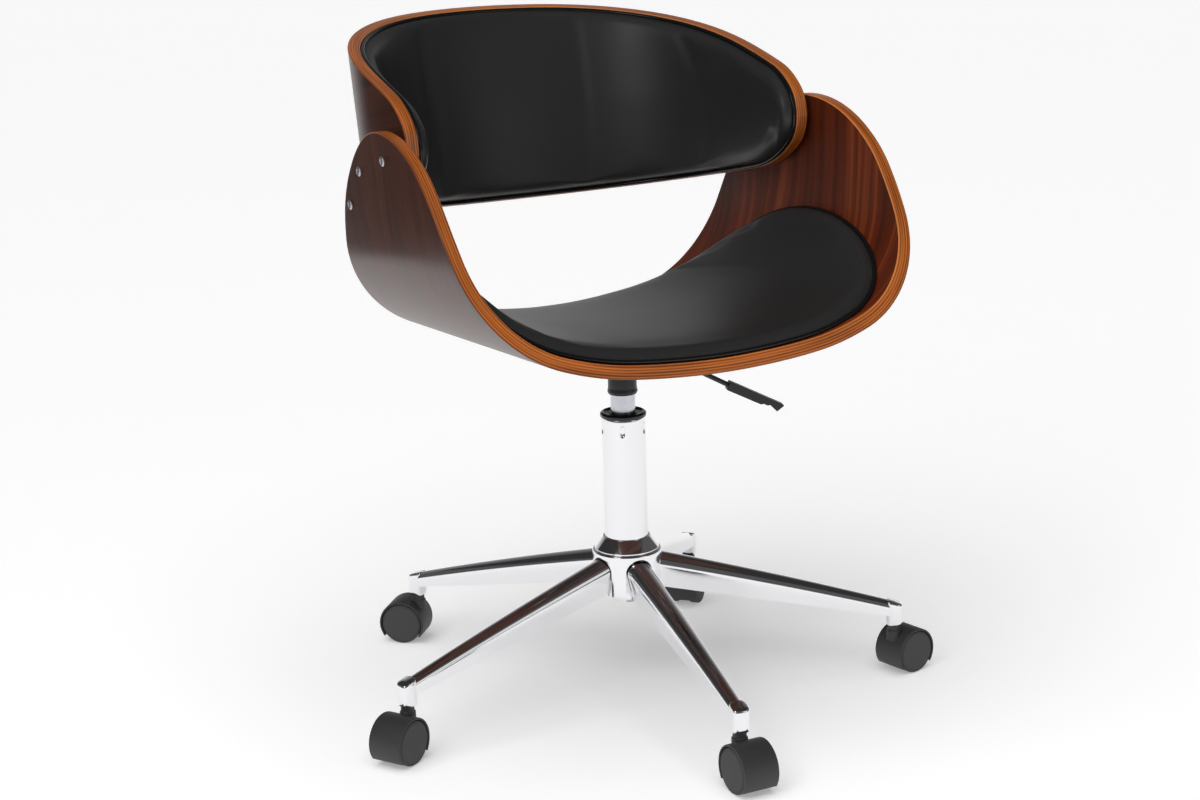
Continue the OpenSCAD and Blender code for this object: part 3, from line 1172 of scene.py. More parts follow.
@dataclass
class Cushion:
    """A foam pad under stretched leather, with a bead of piping around it."""

    name: str
    node: str
    form: Form
    edge: float = 12.5 * MM
    rise: float = 15 * MM
    crown: float = 5 * MM
    crown_run: float = 80 * MM
    bead: float = 2.4 * MM
    bead_inset: float = 2.4 * MM
    groove: float = 3.6 * MM
    half: int = 64
    across: int = 48
    pressure: float = 4.0
    cap: float = 1.0 * MM
    frames: int = 20
    under: Sequence = ()

    def thickness(self, margin: Array) -> Array:
        """Thickness of the pad at a distance from its outline.

        Args:
            margin: Distance in from the outline.

        Returns:
            The thickness.
        """
        near = np.clip(margin / self.edge, 0, 1)
        wall = (1 - (1 - near) ** 2.4) ** (1 / 2.4)
        return self.rise * wall + self.crown * (1 - np.exp(-margin / self.crown_run))

    def build(self) -> bpy.types.Object:
        """Builds the crowned pad.

        Returns:
            The new object.
        """
        rows = eased(self.across)
        s = self.form.columns(self.half, 0.0, self.groove)
        low, high = self.form.limits(s, 0.0, self.groove)
        w = low[:, None] + (high - low)[:, None] * rows[None, :]
        s = np.repeat(s[:, None], len(rows), 1)
        loop = np.concatenate([np.stack([s[:, 0], w[:, 0]], -1), np.stack([s[:, -1], w[:, -1]], -1)[::-1]])
        flat = np.stack([s, w], -1).reshape(-1, 2)
        margin = outline_distance(flat, loop).reshape(s.shape)
        margin[:, 0] = margin[:, -1] = 0
        margin[0] = margin[-1] = 0
        gap = 0.4 * MM
        top = self.form.place(s, w, -gap - self.thickness(margin)).reshape(-1, 3)
        self.under = self.form.place(s, w, -gap).reshape(-1, 3)
        faces = grid_faces(*s.shape) + grid_faces(*s.shape, False, len(top))
        return add_mesh(self.name, np.concatenate([top, self.under]), faces, Finish.LEATHER, 80.0)

    def stuff(self, pad: bpy.types.Object) -> bpy.types.Object:
        """Lets the cover find its own shape over the foam, held at its lower edge.

        Args:
            pad: The crowned pad.

        Returns:
            The same pad.
        """
        rest = np.array([v.co for v in pad.data.vertices])
        pad.vertex_groups.new(name="held").add(self.held_points(pad), 1.0, "REPLACE")
        cloth = pad.modifiers.new("cover", "CLOTH")
        settings = cloth.settings
        settings.quality = 5
        settings.mass = 0.4
        settings.tension_stiffness = settings.compression_stiffness = 12
        settings.bending_stiffness = 8.0
        settings.use_pressure = True
        settings.uniform_pressure_force = self.pressure
        settings.vertex_group_mass = "held"
        settings.shrink_min = -0.002
        settings.effector_weights.gravity = 0
        cloth.collision_settings.use_collision = False
        cloth.point_cache.frame_start, cloth.point_cache.frame_end = 1, self.frames
        for moment in range(1, self.frames + 1):
            bpy.context.scene.frame_set(moment)
        apply_all(pad)
        bpy.context.scene.frame_set(1)
        moved = np.array([v.co for v in pad.data.vertices])
        shift = moved - rest
        length = np.linalg.norm(shift, axis=1)[:, None]
        shift *= np.minimum(1, self.cap / np.maximum(length, 1e-9))
        pad.data.vertices.foreach_set("co", (rest + shift).astype(np.float32).ravel())
        pad.data.update()
        LOG.info("%s cover moved %.1f mm at most", pad.name, float(length.max()) / MM)
        return pad

    def held_points(self, pad: bpy.types.Object) -> list[int]:
        """Indices of the pad's points that lie on the shell.

        Args:
            pad: The pad.

        Returns:
            The indices.
        """
        tree = KDTree(len(self.under))
        for i, spot in enumerate(self.under):
            tree.insert(spot, i)
        tree.balance()
        return [v.index for v in pad.data.vertices if tree.find(v.co)[2] < 0.2 * MM]

    def piping(self) -> bpy.types.Object:
        """The bead of piping around the pad."""
        line = self.form.rim(self.half, -self.bead - 0.2 * MM, self.bead_inset)
        return tube(self.name + "_piping", line, self.bead, Finish.PIPING, True)

    def dress(self) -> None:
        """Builds the pad and its piping and puts them on the seat."""
        pad = self.stuff(self.build())
        smooth = pad.modifiers.new("smooth", "SUBSURF")
        smooth.levels = smooth.render_levels = 1
        apply_all(pad)
        for polygon in pad.data.polygons:
            polygon.use_smooth = True
        hand_over(pad, "seat", "black_leather", self.node)
        hand_over(self.piping(), "seat", "black_leather")


def outline_distance(points: Array, loop: Array) -> Array:
    """Distance from points to a closed polyline in a plane.

    Args:
        points: The points.
        loop: The polyline.

    Returns:
        The distances.
    """
    a, b = loop, np.roll(loop, -1, 0)
    d = b - a
    size = np.maximum((d * d).sum(1), 1e-16)
    best = np.full(len(points), 1e9)
    for i in range(len(a)):
        t = np.clip(((points - a[i]) @ d[i]) / size[i], 0, 1)
        best = np.minimum(best, np.linalg.norm(points - a[i] - t[:, None] * d[i], axis=1))
    return best


# ---- fasteners, lever and lift ------------------------------------------------------


def along_normal(place: Array, normal: Array) -> Matrix:
    """A frame at a place with +Z along a direction.

    Args:
        place: The origin.
        normal: The direction.

    Returns:
        The frame as a matrix.
    """
    turn = Vector(normal).to_track_quat("Z", "Y").to_matrix().to_4x4()
    return Matrix.Translation(Vector(place)) @ turn


def ngon(sides: int, radius: float) -> list[Point]:
    """Corners of a regular polygon."""
    return [(radius * math.cos(2 * math.pi * k / sides), radius * math.sin(2 * math.pi * k / sides))
            for k in range(sides)]


@dataclass
class ShellFasteners:
    """Button-headed screws through the arms and hexagon bolts under the pan."""

    seat: SeatForm
    sheet: float = 14 * MM
    screw_places: tuple[Point, ...] = ((-1 * MM, 219 * MM), (85 * MM, 204 * MM), (133 * MM, 165 * MM))
    head: float = 5.6 * MM
    socket: float = 3.1 * MM
    bolt_head: float = 6.4 * MM
    washer: float = 7.6 * MM
    bolt_x: float = 62 * MM
    bolt_y: float = 72 * MM
    plate: float = 3 * MM

    def screw(self, side: int, across: float, rise: float) -> bpy.types.Object:
        """One screw head on the outside of an arm.

        Args:
            side: 1 or -1 for the arm on +X or -X.
            across: Place across the arm.
            rise: Height up the arm, in the seat's frame.

        Returns:
            The screw.
        """
        s = side * np.interp(rise, self.seat.line[:, 1], self.seat.run)
        s = np.array([s, s])
        points = self.seat.place(s, np.array([across, across]), np.array([self.sheet, self.sheet + MM]))
        r = self.head
        head = lathe("screw_head", [(0, 2.3 * MM), (1.9 * MM, 2.25 * MM), (0.8 * r, 1.5 * MM, 1.4 * MM),
                                    (r, 0.25 * MM, 0.3 * MM), (r, -0.3 * MM), (0, -0.3 * MM)],
                     Finish.SCREW, 40)
        # The socket's cutter takes the black finish, to paint the inside of the socket dark as shade.
        recess = prism("recess", ngon(6, self.socket), 0.7 * MM, 4 * MM, Finish.BLACK_STEEL, Matrix())
        cut(head, [recess])
        head.data.transform(along_normal(points[0], points[1] - points[0]))
        return head

    def bolt(self, x: float, y: float) -> bpy.types.Object:
        """One bolt head with its washer below the plate.

        Args:
            x: Place across the pan.
            y: Place along the pan.

        Returns:
            The bolt.
        """
        under = -self.sheet - self.plate - 0.2 * MM
        head = prism("bolt_head", ngon(6, self.bolt_head), under - 5 * MM, under - 0.9 * MM, Finish.STEEL,
                     Matrix(), 0.5 * MM)
        washer = lathe("washer", [
            (3 * MM, under - 0.9 * MM), (self.washer, under - 0.9 * MM, 0.3 * MM), (self.washer, under),
            (3 * MM, under)], Finish.STEEL, 48, True)
        made = join("bolt", [head, washer])
        tilt = Matrix.Rotation(-self.seat.tilt, 4, "X")
        made.data.transform(Matrix.Translation((0, 0, self.seat.height)) @ tilt
                            @ Matrix.Translation((x, y, 0)))
        return made

    def dress(self) -> None:
        """Builds all fasteners and puts them on the seat."""
        for side, word in ((-1, "right"), (1, "left")):
            heads = [self.screw(side, *p) for p in self.screw_places]
            hand_over(join(f"arm_screws_{word}", heads), "seat", "screw_steel", f"shell_screws_{word}")
        bolts = [self.bolt(x, y) for x in (-self.bolt_x, self.bolt_x) for y in (-self.bolt_y, self.bolt_y)]
        hand_over(join("plate_bolts", bolts), "seat", "screw_steel", "pan_bolts")


@dataclass
class Lever:
    """Release lever: a bent rod and a flat handle with a finger notch."""

    turn: float = math.radians(-20)
    bend: tuple[float, float] = (40 * MM, 395.6 * MM)
    grip: tuple[float, float] = (131.5 * MM, 346.5 * MM)
    rod: float = 2.8 * MM
    nose: float = 2.0 * MM
    stations: int = 60
    grip_tilt: float = math.radians(2)
    grip_back: float = 12 * MM
    grip_outline: tuple = ((0, -5.0, 1.2), (44, -5.1, 1.0), (47, -3.2, 1.0), (51.5, -3.4, 1.0),
                           (54.5, -1.6, 1.4), (65, -5.4, 0.8), (70, 4.6, 1.0), (14, 5.2, 4.0),
                           (0, 5.2, 1.2))
    width: float = 13 * MM

    def dress(self) -> None:
        """Builds the lever on its body."""
        place = Matrix.Rotation(self.turn, 4, "Z")
        line = fillet([(-2.5 * MM, 396.2 * MM), (14 * MM, 396.0 * MM), (*self.bend, 16 * MM), self.grip], 10)
        steps = np.linspace(0, len(line) - 1, self.stations)
        x, z = (np.interp(steps, np.arange(len(line)), [p[i] for p in line]) for i in (0, 1))
        points = np.stack([x, np.zeros_like(x), z], -1)
        radii = np.interp(x, [0, 8 * MM, 16 * MM], [self.nose, self.nose, self.rod])
        rod = tube("lever_bar", points, radii, Finish.BLACK_STEEL, False, 20)
        rod.data.transform(place)
        hand_over(rod, "lever", "black_steel", "lever_rod")
        slope = math.atan2(self.grip[1] - self.bend[1], self.grip[0] - self.bend[0])
        outline = fillet([tuple(v * MM for v in corner) for corner in self.grip_outline], 4, True)
        frame_at = (Matrix.Translation((self.grip[0], 0, self.grip[1]))
                    @ Matrix.Rotation(-slope - self.grip_tilt, 4, "Y") @ Matrix.Rotation(math.pi / 2, 4, "X")
                    @ Matrix.Translation((-self.grip_back, 0, 0)))
        half = self.width / 2
        handle = prism("lever_grip", outline, -half, half, Finish.HANDLE, place @ frame_at, 0.9 * MM)
        hand_over(handle, "lever", "black_plastic", "lever_handle")


@dataclass
class Column:
    """Chrome column with its guide bush, the silver cylinder in it and the sleeve above."""

    radius: float = 25 * MM
    wall: float = 1.6 * MM
    low: float = 112 * MM
    top: float = 324 * MM
    inner: float = 14 * MM
    stakes: int = 5
    stake_turn: float = math.radians(-31)
    stake_drop: float = 13 * MM
    stake_half: Point = (3.3 * MM, 7.2 * MM)
    stake_depth: float = 2.0 * MM
    bush_depth: float = 60 * MM
    barrel_low: float = 196 * MM
    barrel_top: float = 389 * MM
    rod_bore: float = 11 * MM
    rod_bore_top: float = 367 * MM
    button_bore: float = 4.1 * MM
    button_floor: float = 376 * MM
    sleeve_low: float = 350 * MM
    sleeve_top: float = 371.8 * MM

    def tube_mesh(self) -> bpy.types.Object:
        """The column tube with its pressed stake marks.

        Returns:
            The tube.
        """
        step = 2 * math.pi / self.stakes
        fine = math.radians(8)
        angles = []
        for k in range(self.stakes):
            middle = k * step + self.stake_turn
            angles += list(np.linspace(middle - fine, middle + fine, 21))
            angles += list(np.linspace(middle + fine, middle + step - fine, 16))[1:-1]
        mark = self.top - self.stake_drop
        heights = [self.low, *np.linspace(self.low + 8 * MM, mark - 10 * MM, 8),
                   *np.linspace(mark - 8 * MM, mark + 8 * MM, 21), self.top - 1.0 * MM, self.top - 0.3 * MM]
        inside = self.radius - self.wall
        points = []
        for a in angles:
            off = (a - self.stake_turn + step / 2) % step - step / 2
            for z in heights:
                spot = (off * self.radius / self.stake_half[0]) ** 2 + ((z - mark) / self.stake_half[1]) ** 2
                r = self.radius - self.stake_depth * max(0.0, 1 - spot) ** 0.7
                r -= 0.3 * MM if z > self.top - 0.5 * MM else 0
                points.append((r * math.sin(a), -r * math.cos(a), z))
            for r, z in ((self.radius - 1.0 * MM, self.top), (inside, self.top), (inside, self.low)):
                points.append((r * math.sin(a), -r * math.cos(a), z))
        faces = turned_faces(len(angles), len(heights) + 3, True)
        return add_mesh("column", points, faces, Finish.CHROME, 50)

    def dress(self) -> None:
        """Builds the column's pieces on their bodies."""
        hand_over(self.tube_mesh(), "base", "chrome", "column_tube")
        r, z = self.radius, self.top
        bore = self.inner + 0.12 * MM
        bush = lathe("guide_ring", [
            (bore, z - self.bush_depth), (r - self.wall - 0.1 * MM, z - self.bush_depth),
            (r - self.wall - 0.1 * MM, z + 0.05 * MM),
            (r + 1.2 * MM, z + 0.05 * MM, 0.3 * MM), (r + 1.5 * MM, z + 3.6 * MM, 1.6 * MM),
            (r - 1.2 * MM, z + 5.6 * MM, 1.2 * MM), (r - 3.6 * MM, z + 3.4 * MM, 1.5 * MM),
            (self.inner + 2.4 * MM, z + 3.0 * MM, 1.0 * MM), (self.inner + 1.6 * MM, z + 4.4 * MM, 0.4 * MM),
            (bore, z + 4.4 * MM, 0.3 * MM)], Finish.BUSH, 128, True)
        hand_over(bush, "base", "black_plastic", "guide_bush")
        g = self.inner
        barrel = lathe("lift_barrel", [
            (0, self.rod_bore_top), (self.rod_bore, self.rod_bore_top), (self.rod_bore, self.barrel_low),
            (g, self.barrel_low, 0.8 * MM), (g, self.barrel_top, 0.8 * MM),
            (self.button_bore, self.barrel_top), (self.button_bore, self.button_floor),
            (0, self.button_floor)],
            Finish.SILVER, 128)
        hand_over(barrel, "seat", "grey_steel", "gas_cylinder")
        low, high = self.sleeve_low, self.sleeve_top
        sleeve = lathe("top_sleeve", [
            (g + 0.1 * MM, low), (g + 2.0 * MM, low, 0.5 * MM), (g + 3.3 * MM, low + 3 * MM, 1.2 * MM),
            (g + 2.4 * MM, low + 7 * MM, 5 * MM), (g + 2.2 * MM, high, 0.6 * MM), (g + 0.1 * MM, high)],
            Finish.SLEEVE, 96, True)
        hand_over(sleeve, "seat", "black_plastic", "sleeve")


# ---- base and casters ------------------------------------------------------------------


@dataclass
class StarBase:
    """Five pressed arms in a slotted hub under a cone collar."""

    arms: int = 5
    first: float = math.radians(-7)
    circle: float = 310 * MM
    hub: float = 40 * MM
    cone: float = 37 * MM
    hub_low: float = 113.5 * MM
    hub_top: float = 168 * MM
    column: float = 25 * MM
    root: float = 24 * MM
    wall: float = 2 * MM
    ridge: Point = (15.0 * MM, 8.8 * MM)
    foot: Point = (12.6 * MM, 8.6 * MM)
    height: Point = (39.6 * MM, 17.0 * MM)
    base: Point = (125 * MM, 70.6 * MM)
    arch: float = 2.2 * MM
    socket_low: float = 59.3 * MM
    socket_bore: float = 0.62
    tip: float = 9.7 * MM
    squareness: float = 3.4
    opening: float = 16 * MM
    opening_rise: float = 34.7 * MM
    collar: float = 14.7 * MM

    def angle(self, k: int) -> float:
        """Angle of arm k, from -Y towards +X."""
        return self.first + 2 * math.pi * k / self.arms

    def section(self, ridge: float, foot: float, height: float) -> list[Point]:
        """Half-round ridge with straight skirts down to a foot.

        Args:
            ridge: Radius of the ridge.
            foot: Half width at the foot.
            height: Height of the ridge's top.

        Returns:
            Points from one foot over the top to the other.
        """
        middle = height - ridge
        reach = math.hypot(foot, middle)
        start = math.atan2(-middle, foot) + math.acos(min(1.0, ridge / reach))
        arc = [(ridge * math.cos(a), middle + ridge * math.sin(a))
               for a in np.linspace(start, math.pi - start, 25)]
        first = [(foot + (arc[0][0] - foot) * t, arc[0][1] * t) for t in np.linspace(0, 1, 5)[:-1]]
        return first + arc + [(-x, y) for x, y in reversed(first)]

    def arm(self, k: int) -> bpy.types.Object:
        """One pressed arm with its stem socket.

        Args:
            k: The arm's number, from 0.

        Returns:
            The arm.
        """
        rings = []
        end = self.circle - 2 * MM
        for t in np.linspace(0, 1, 30):
            d = self.root + (end - self.root) * t
            ridge, foot, height, low = (
                a + (b - a) * t for a, b in (self.ridge, self.foot, self.height, self.base))
            height += self.arch * (1 - (2 * t - 1) ** 2)
            outer = self.section(ridge, foot, height)
            inner = self.section(ridge - self.wall, foot - self.wall, height - self.wall)
            rings.append([(x, -d, low + z) for x, z in outer + inner[::-1]])
        n = len(rings[0])
        points = [p for ring in rings for p in ring]
        faces = grid_faces(len(rings), n, True)
        half = n // 2
        for base in (0, (len(rings) - 1) * n):
            faces += [(base + i, base + i + 1, base + n - 2 - i, base + n - 1 - i) for i in range(half - 1)]
        arm = add_mesh("arm_channel", points, faces, Finish.CHROME, 40)
        made = join(f"base_arm_{k + 1}", [arm, self.socket()])
        made.data.transform(Matrix.Rotation(self.angle(k), 4, "Z"))
        return made

    def socket(self) -> bpy.types.Object:
        """The arm's tip: a tapered, rounded-square socket with a sloping top.

        Returns:
            The socket.
        """
        slope = (self.height[0] + self.base[0] - self.height[1] - self.base[1] + 4 * self.arch) / (
            self.circle - self.root)
        crest, low = self.height[1] + self.base[1], self.socket_low
        sides, power = 64, 2 / self.squareness
        levels = [(0.0, 0.86), (0.03, 0.93), (0.12, 0.95), (0.5, 0.97),
                  (0.80, 0.98), (0.90, 0.97), (0.97, 0.91), (1.0, 0.80)]
        rings = []
        for share, size in levels:
            ring = []
            for i in range(sides):
                a = 2 * math.pi * i / sides
                c, s = math.cos(a), math.sin(a)
                x = math.copysign(abs(c) ** power, c) * self.tip * size
                y = math.copysign(abs(s) ** power, s) * self.tip * size
                top = crest + slope * y - 0.4 * MM
                ring.append((x, y - self.circle, low + (top - low) * share))
            rings.append(ring)
        points = [p for ring in rings for p in ring]
        faces = grid_faces(len(rings), sides, True)
        faces.append(tuple(range((len(rings) - 1) * sides, len(rings) * sides)))
        bore = self.socket_bore
        inner = [(x * bore, (y + self.circle) * bore - self.circle, low) for x, y, _ in rings[0]]
        start = len(points)
        points += inner + [(x, y, z + 6 * MM) for x, y, z in inner]
        for i in range(sides):
            j = (i + 1) % sides
            faces.append((i, j, start + j, start + i))
            faces.append((start + i, start + j, start + sides + j, start + sides + i))
        return add_mesh("socket", points, faces, Finish.CHROME, 40)

    def hub_cup(self) -> bpy.types.Object:
        """The hub, with a round-topped opening for each arm.

        Returns:
            The hub.
        """
        inner, low, top = self.column + 0.1 * MM, self.hub_low, self.hub_top
        cup = lathe("hub_cup", [
            (inner, top), (self.hub, top, 2.2 * MM), (self.hub, low + 6 * MM, 2 * MM),
            (self.hub - 1.2 * MM, low, 0.5 * MM), (self.hub - 4 * MM, low), (self.hub - 3 * MM, top - 3 * MM),
            (inner, top - 3 * MM)], Finish.CHROME, 160, True)
        cutters = []
        for k in range(self.arms):
            r = self.opening
            arc = [(r * math.cos(a), low + self.opening_rise + r * math.sin(a))
                   for a in np.linspace(0, math.pi, 24)]
            outline = [(-r, low - MM), (r, low - MM)] + arc
            turn = (Matrix.Rotation(self.angle(k), 4, "Z")
                    @ Matrix.Translation((0, -self.hub, -1 * MM)) @ Matrix.Rotation(math.pi / 2, 4, "X"))
            cutters.append(prism("opening", outline, -12 * MM, 12 * MM, Finish.CHROME, turn))
        return round_edges(cut(cup, cutters), 0.5 * MM, 2)

    def dress(self) -> None:
        """Builds the base."""
        for k in range(self.arms):
            hand_over(self.arm(k), "base", "chrome", f"arm_{k + 1}")
        hand_over(self.hub_cup(), "base", "chrome", "hub")
        inner, top = self.column + 0.1 * MM, self.hub_top + 0.1 * MM
        collar = lathe("collar_cone", [
            (inner, top), (self.cone, top, 0.3 * MM), (self.cone, top + 1.6 * MM, 0.5 * MM),
            (self.column + 2 * MM, top + self.collar, 0.7 * MM), (inner, top + self.collar)],
            Finish.CHROME, 128, True)
        hand_over(collar, "base", "chrome", "cone_collar")
        low = self.hub_low
        cap = lathe("bottom_cap", [
            (11.5 * MM, low + 1.8 * MM), (11.5 * MM, low - 7 * MM), (0, low - 7 * MM), (0, low - 9 * MM),
            (12 * MM, low - 9 * MM, 1.2 * MM), (14 * MM, low - 7 * MM, 1.5 * MM), (14 * MM, low + 1.8 * MM)],
            Finish.SCREW, 72, False)
        hand_over(cap, "base", "chrome", "hub_cap")


@dataclass
class Caster:
    """A twin-wheel caster: hood, two wheels and their shared frame."""

    number: int
    arm_angle: float
    turned: float
    circle: float = 310 * MM
    trail: float = 17.5 * MM
    wheel: float = 25 * MM
    width: float = 40.6 * MM
    hood: float = 28 * MM
    hood_in: float = 25.8 * MM
    open_from: float = math.radians(54)
    boss: float = 7.3 * MM
    boss_top: float = 58.9 * MM
    neck_low: float = 40 * MM
    stem_bore: float = 5.7 * MM
    axle: float = 3 * MM

    def stem_frame(self) -> Matrix:
        """Frame on the stem's axis with +Y along the trail."""
        x, y = self.circle * math.sin(self.arm_angle), -self.circle * math.cos(self.arm_angle)
        return Matrix.Translation((x, y, 0)) @ Matrix.Rotation(self.turned + math.pi, 4, "Z")

    def axle_frame(self) -> Matrix:
        """Frame in the axle's middle with +Z along it."""
        return (self.stem_frame() @ Matrix.Translation((0, self.trail, self.wheel))
                @ Matrix.Rotation(math.pi / 2, 4, "Y"))

    def hood_mesh(self) -> bpy.types.Object:
        """The hood over both wheels with its web and boss.

        Returns:
            The hood.
        """
        half, web = self.width / 2, 2.5 * MM
        section = fillet([
            (web, self.axle + 0.3 * MM), (web, self.hood_in, 1.0 * MM), (half, self.hood_in, 0.3 * MM),
            (half, self.hood, 0.9 * MM), (-half, self.hood, 0.9 * MM), (-half, self.hood_in, 0.3 * MM),
            (-web, self.hood_in, 1.0 * MM), (-web, self.axle + 0.3 * MM)], 4, True)
        n = len(section)
        turns = np.linspace(self.open_from, 2 * math.pi - self.open_from, 84)
        points = [(r * math.cos(a), r * math.sin(a), x) for a in turns for x, r in section]
        faces = grid_faces(len(turns), n, True)
        faces += [tuple(range(n)), tuple(range((len(turns) - 1) * n, len(turns) * n))]
        drum = add_mesh("drum", points, faces, Finish.HOOD, 40)
        drum.data.transform(self.axle_frame())
        neck = lathe("neck", [
            (self.stem_bore, self.neck_low), (self.boss + 1.6 * MM, self.neck_low),
            (self.boss + 1.4 * MM, 52.2 * MM, 1.2 * MM),
            (self.boss, 53.4 * MM, 1.0 * MM), (self.boss, self.boss_top, 0.5 * MM),
            (self.stem_bore, self.boss_top)],
            Finish.HOOD, 56, True)
        neck.data.transform(self.stem_frame())
        return join(f"hood_{self.number}", [drum, neck])

    def wheel_mesh(self, side: int) -> bpy.types.Object:
        """One wheel: tread, rounded shoulder and flat disc with a fine groove.

        Args:
            side: 1 or -1 along the axle.

        Returns:
            The wheel.
        """
        inner, outer, r = self.boss + 0.9 * MM, self.width / 2 + 0.1 * MM, self.wheel
        bore = self.axle + 0.08 * MM
        profile = [
            (bore, outer - 3 * MM), (bore, inner), (r * 0.3, inner, 0.8 * MM),
            (r * 0.34, inner + 4 * MM, 1 * MM),
            (r * 0.84, inner + 4 * MM, 1 * MM), (r * 0.88, inner, 0.8 * MM), (r - 0.2 * MM, inner, 1.2 * MM),
            (r, inner + 2.4 * MM, 3 * MM), (r, outer - 2.2 * MM, 2 * MM),
            (r - 1.3 * MM, outer - 0.15 * MM, 0.5 * MM),
            (r - 2.1 * MM, outer - 0.15 * MM, 0.1 * MM), (r - 2.3 * MM, outer - 0.55 * MM, 0.15 * MM),
            (r - 2.7 * MM, outer - 0.55 * MM, 0.15 * MM), (r - 2.9 * MM, outer, 0.3 * MM),
            (0, outer + 0.3 * MM)]
        start = [(0, outer - 3 * MM)]
        made = lathe(f"wheel_{'a' if side > 0 else 'b'}{self.number}", start + profile, Finish.WHEEL, 96)
        flip = Matrix.Rotation(0 if side > 0 else math.pi, 4, "X")
        made.data.transform(self.axle_frame() @ flip)
        return made

    def dress(self) -> None:
        """Builds the caster on its three bodies."""
        k = self.number
        hand_over(self.hood_mesh(), f"caster_{k}", "black_plastic", f"caster_hood_{k}")
        for side, word in ((1, "a"), (-1, "b")):
            hand_over(self.wheel_mesh(side), f"roller_{word}_{k}", "wheel_plastic", f"wheel_{word}_{k}")


# ---- studio -------------------------------------------------------------------------------


@dataclass
class Studio:
    """Pale floor, soft lights and the camera."""

    camera_at: tuple[float, float, float] = (-1.1155, -2.0979, 0.942)
    heading: float = math.radians(-27.38)
    pitch: float = math.radians(14.16)
    roll: float = math.radians(-1.75)
    lens: float = 65.0
    sensor: float = 36.0
    floor_half: float = 60.0
    sun_power: float = 2.15
    sun_spread: float = math.radians(70)
    sun_tilt: tuple[float, float, float] = (math.radians(12), math.radians(-14), 0)
    curtain_radius: float = 3.4
    curtain_turn: Point = (-150, 112)
    sky_power: float = 0.95

    def camera(self) -> None:
        """Places the camera."""
        data = bpy.data.cameras.new("camera")
        data.lens, data.sensor_width = self.lens, self.sensor
        b, p, r = self.heading, self.pitch, self.roll
        ahead = Vector((-math.sin(b) * math.cos(p), math.cos(b) * math.cos(p), -math.sin(p)))
        right = ahead.cross(Vector((0, 0, 1))).normalized()
        up = right.cross(ahead)
        side = right * math.cos(r) + up * math.sin(r)
        top = up * math.cos(r) - right * math.sin(r)
        turn = Matrix((side, top, -ahead)).transposed().to_4x4()
        made = put("camera", data)
        made.matrix_world = Matrix.Translation(self.camera_at) @ turn
        bpy.context.scene.camera = made

    def panel(self, name: str, points: Sequence, faces: Sequence,
              backdrop: Backdrop) -> bpy.types.Object:
        """Sets up a flat piece of the studio.

        Args:
            name: Its name.
            points: Its vertices.
            faces: Its faces as vertex indices.
            backdrop: Its surface.

        Returns:
            The new object.
        """
        mesh = bpy.data.meshes.new(name)
        mesh.from_pydata(points, [], faces)
        mesh.materials.append(backdrop.make())
        return put(name, mesh)

    def floor(self) -> None:
        """Lays the pale floor."""
        pale = Backdrop("studio_floor", (0.86, 0.86, 0.86, 1), (0.84, 0.84, 0.84, 1), cells=3.0,
                        cloud=0.2, roughness=0.9, shine=0.1, glow=0.34)
        size = self.floor_half
        corners = [(-size, -size, 0), (size, -size, 0), (size, size, 0), (-size, size, 0)]
        self.panel("floor", corners, [(0, 1, 2, 3)], pale)

    def lamp(self, name: str, place: tuple, target: tuple, size: Point, power: float) -> None:
        """Adds one soft light.

        Args:
            name: Its name.
            place: Where it stands.
            target: What it points at.
            size: Its width and height.
            power: Its power in watts.
        """
        data = bpy.data.lights.new(name, "AREA")
        data.shape, data.size, data.size_y, data.energy = "RECTANGLE", size[0], size[1], power
        way = (Vector(target) - Vector(place)).to_track_quat("-Z", "Y")
        put(name, data).matrix_world = Matrix.Translation(place) @ way.to_matrix().to_4x4()

    def sun(self) -> None:
        """Adds broad light from above, which no polished piece mirrors."""
        data = bpy.data.lights.new("above", "SUN")
        data.energy, data.angle = self.sun_power, self.sun_spread
        made = put("above", data)
        made.rotation_euler = self.sun_tilt
        made.visible_glossy = False

    def card(self, name: str, line: Sequence[Point], low: float, high: float, tone: float) -> None:
        """Hangs a dim curtain that only polished pieces mirror.

        Args:
            name: Its name.
            line: Its line on the floor.
            low: Height of its lower edge.
            high: Height of its upper edge.
            tone: Its brightness.
        """
        points = [(x, y, z) for x, y in line for z in (low, high)]
        faces = [(2 * i, 2 * i + 2, 2 * i + 3, 2 * i + 1) for i in range(len(line) - 1)]
        dim = Backdrop(name, (tone, tone, tone, 1), (tone * 1.1, tone, tone, 1), cells=2.0,
                       cloud=0.3, roughness=1.0, shine=0.0, glow=1.0)
        made = self.panel(name, points, faces, dim)
        made.visible_camera = made.visible_diffuse = False
        made.visible_shadow = made.visible_transmission = False

    def cards(self) -> None:
        """Hangs the curtains around the camera's side and close to the right arm."""
        r = self.curtain_radius
        turn = np.radians(np.linspace(*self.curtain_turn, 32))
        around_camera = [(r * math.sin(a), -r * math.cos(a)) for a in turn]
        self.card("room_curtain", around_camera, low=0.30, high=3.4, tone=0.05)
        self.card("near_card", [(-1.05, 0.02), (-0.30, 0.62)], low=0.36, high=1.2, tone=0.02)

    def sky(self) -> None:
        """A room that is bright at the horizon and dim overhead."""
        world = bpy.data.worlds.new("studio")
        world.use_nodes = True
        tree = world.node_tree
        place = tree.nodes.new("ShaderNodeTexCoord")
        split = tree.nodes.new("ShaderNodeSeparateXYZ")
        ramp = tree.nodes.new("ShaderNodeValToRGB")
        tree.links.new(place.outputs["Generated"], split.inputs[0])
        tree.links.new(split.outputs[2], ramp.inputs[0])
        low, high = ramp.color_ramp.elements
        low.position, low.color = 0.0, (1.0, 1.0, 1.0, 1)
        high.position, high.color = 0.7, (0.035, 0.033, 0.032, 1)
        ramp.color_ramp.elements.new(0.30).color = (0.30, 0.30, 0.31, 1)
        back = tree.nodes["Background"]
        tree.links.new(ramp.outputs[0], back.inputs[0])
        back.inputs[1].default_value = self.sky_power
        bpy.context.scene.world = world

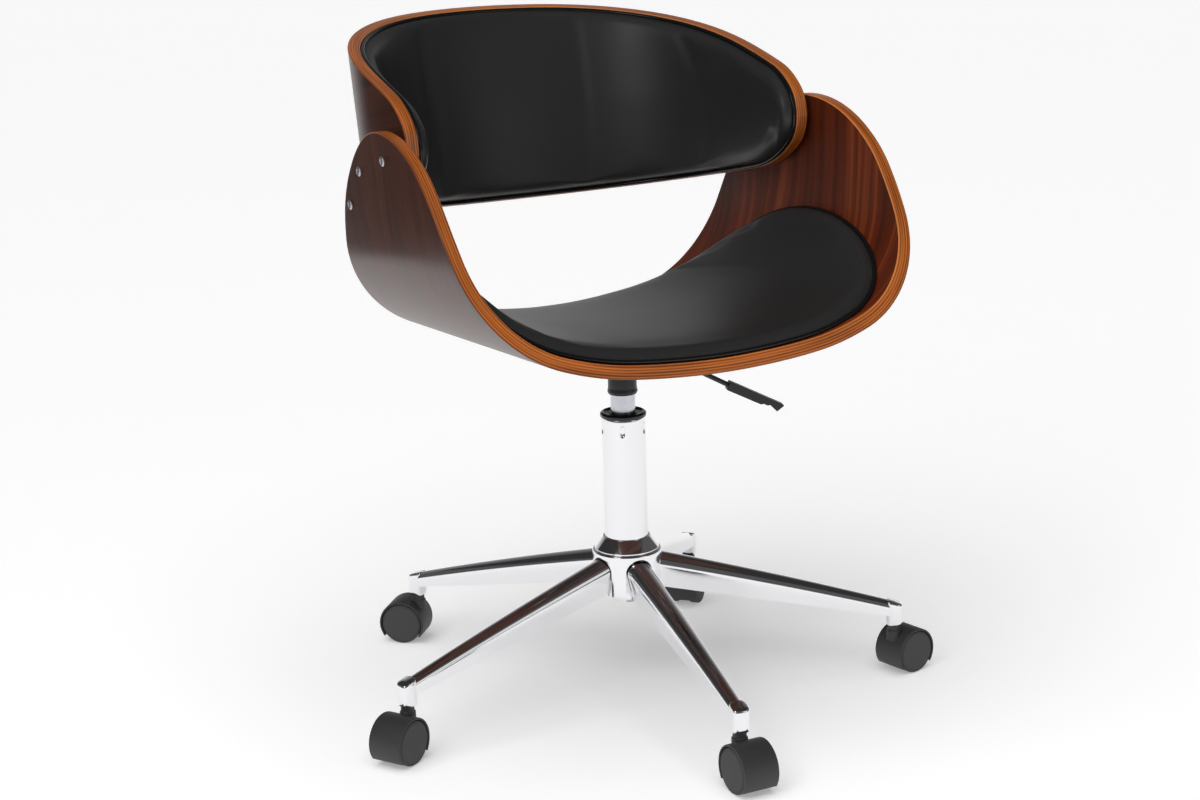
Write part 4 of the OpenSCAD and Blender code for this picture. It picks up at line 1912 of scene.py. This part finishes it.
    def dress(self) -> None:
        """Sets up the studio."""
        self.camera()
        self.floor()
        self.sky()
        self.sun()
        self.cards()
        self.lamp("key", (-2.4, -1.2, 2.0), (0, 0, 0.5), size=(1.2, 1.4), power=12)
        self.lamp("fill", (1.35, -2.7, 1.05), (0, 0, 0.6), size=(1.3, 1.1), power=3.2)
        bpy.context.scene.view_settings.view_transform = "Standard"


# ---- the chair -----------------------------------------------------------------------------


CARRIED = {
    "mount_plate": Finish.BLACK_STEEL, "plate_socket": Finish.BLACK_STEEL, "release_button": Finish.STEEL,
    "cylinder_gland": Finish.STEEL, "piston_rod": Finish.STEEL, "bump_stop": Finish.RUBBER,
    "lever_pin": Finish.STEEL, "bearing_cage": Finish.BUSH, "rod_clip": Finish.STEEL,
    "bearing_race": Finish.STEEL,
}


def finish_carried(casters: int) -> None:
    """Gives the design's own pieces their finishes.

    Args:
        casters: Number of casters.
    """
    finishes = dict(CARRIED)
    for k in range(1, casters + 1):
        finishes[f"stem_{k}"] = Finish.STEEL
        finishes[f"caster_axle_{k}"] = Finish.STEEL
    for name, finish in finishes.items():
        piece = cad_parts[name]
        piece.data.materials.clear()
        piece.data.materials.append(finish.material())
        LOG.info("%s keeps its shape in %s", name, finish.value.name)


CASTERS_TURNED = tuple(math.radians(t) for t in (-1, 100, -45, -131, -59))


def main() -> None:
    """Builds the chair and its studio."""
    logging.basicConfig(level=logging.INFO, format="%(name)s: %(message)s")
    seat, back = SeatForm(), BackForm()
    PlyShell("seat_ply", "seat_shell", seat).dress()
    PlyShell("back_ply", "back_shell", back, across=36).dress()
    Cushion("seat_cushion", "seat_pad", SeatPadForm()).dress()
    Cushion("back_cushion", "back_pad", BackForm(margin=0.6 * MM), half=72, across=36).dress()
    ShellFasteners(seat).dress()
    Lever().dress()
    Column().dress()
    base = StarBase()
    base.dress()
    for k, turn in enumerate(CASTERS_TURNED):
        Caster(k + 1, base.angle(k), turn).dress()
    finish_carried(len(CASTERS_TURNED))
    Studio().dress()


if __name__ == "__main__":
    main()
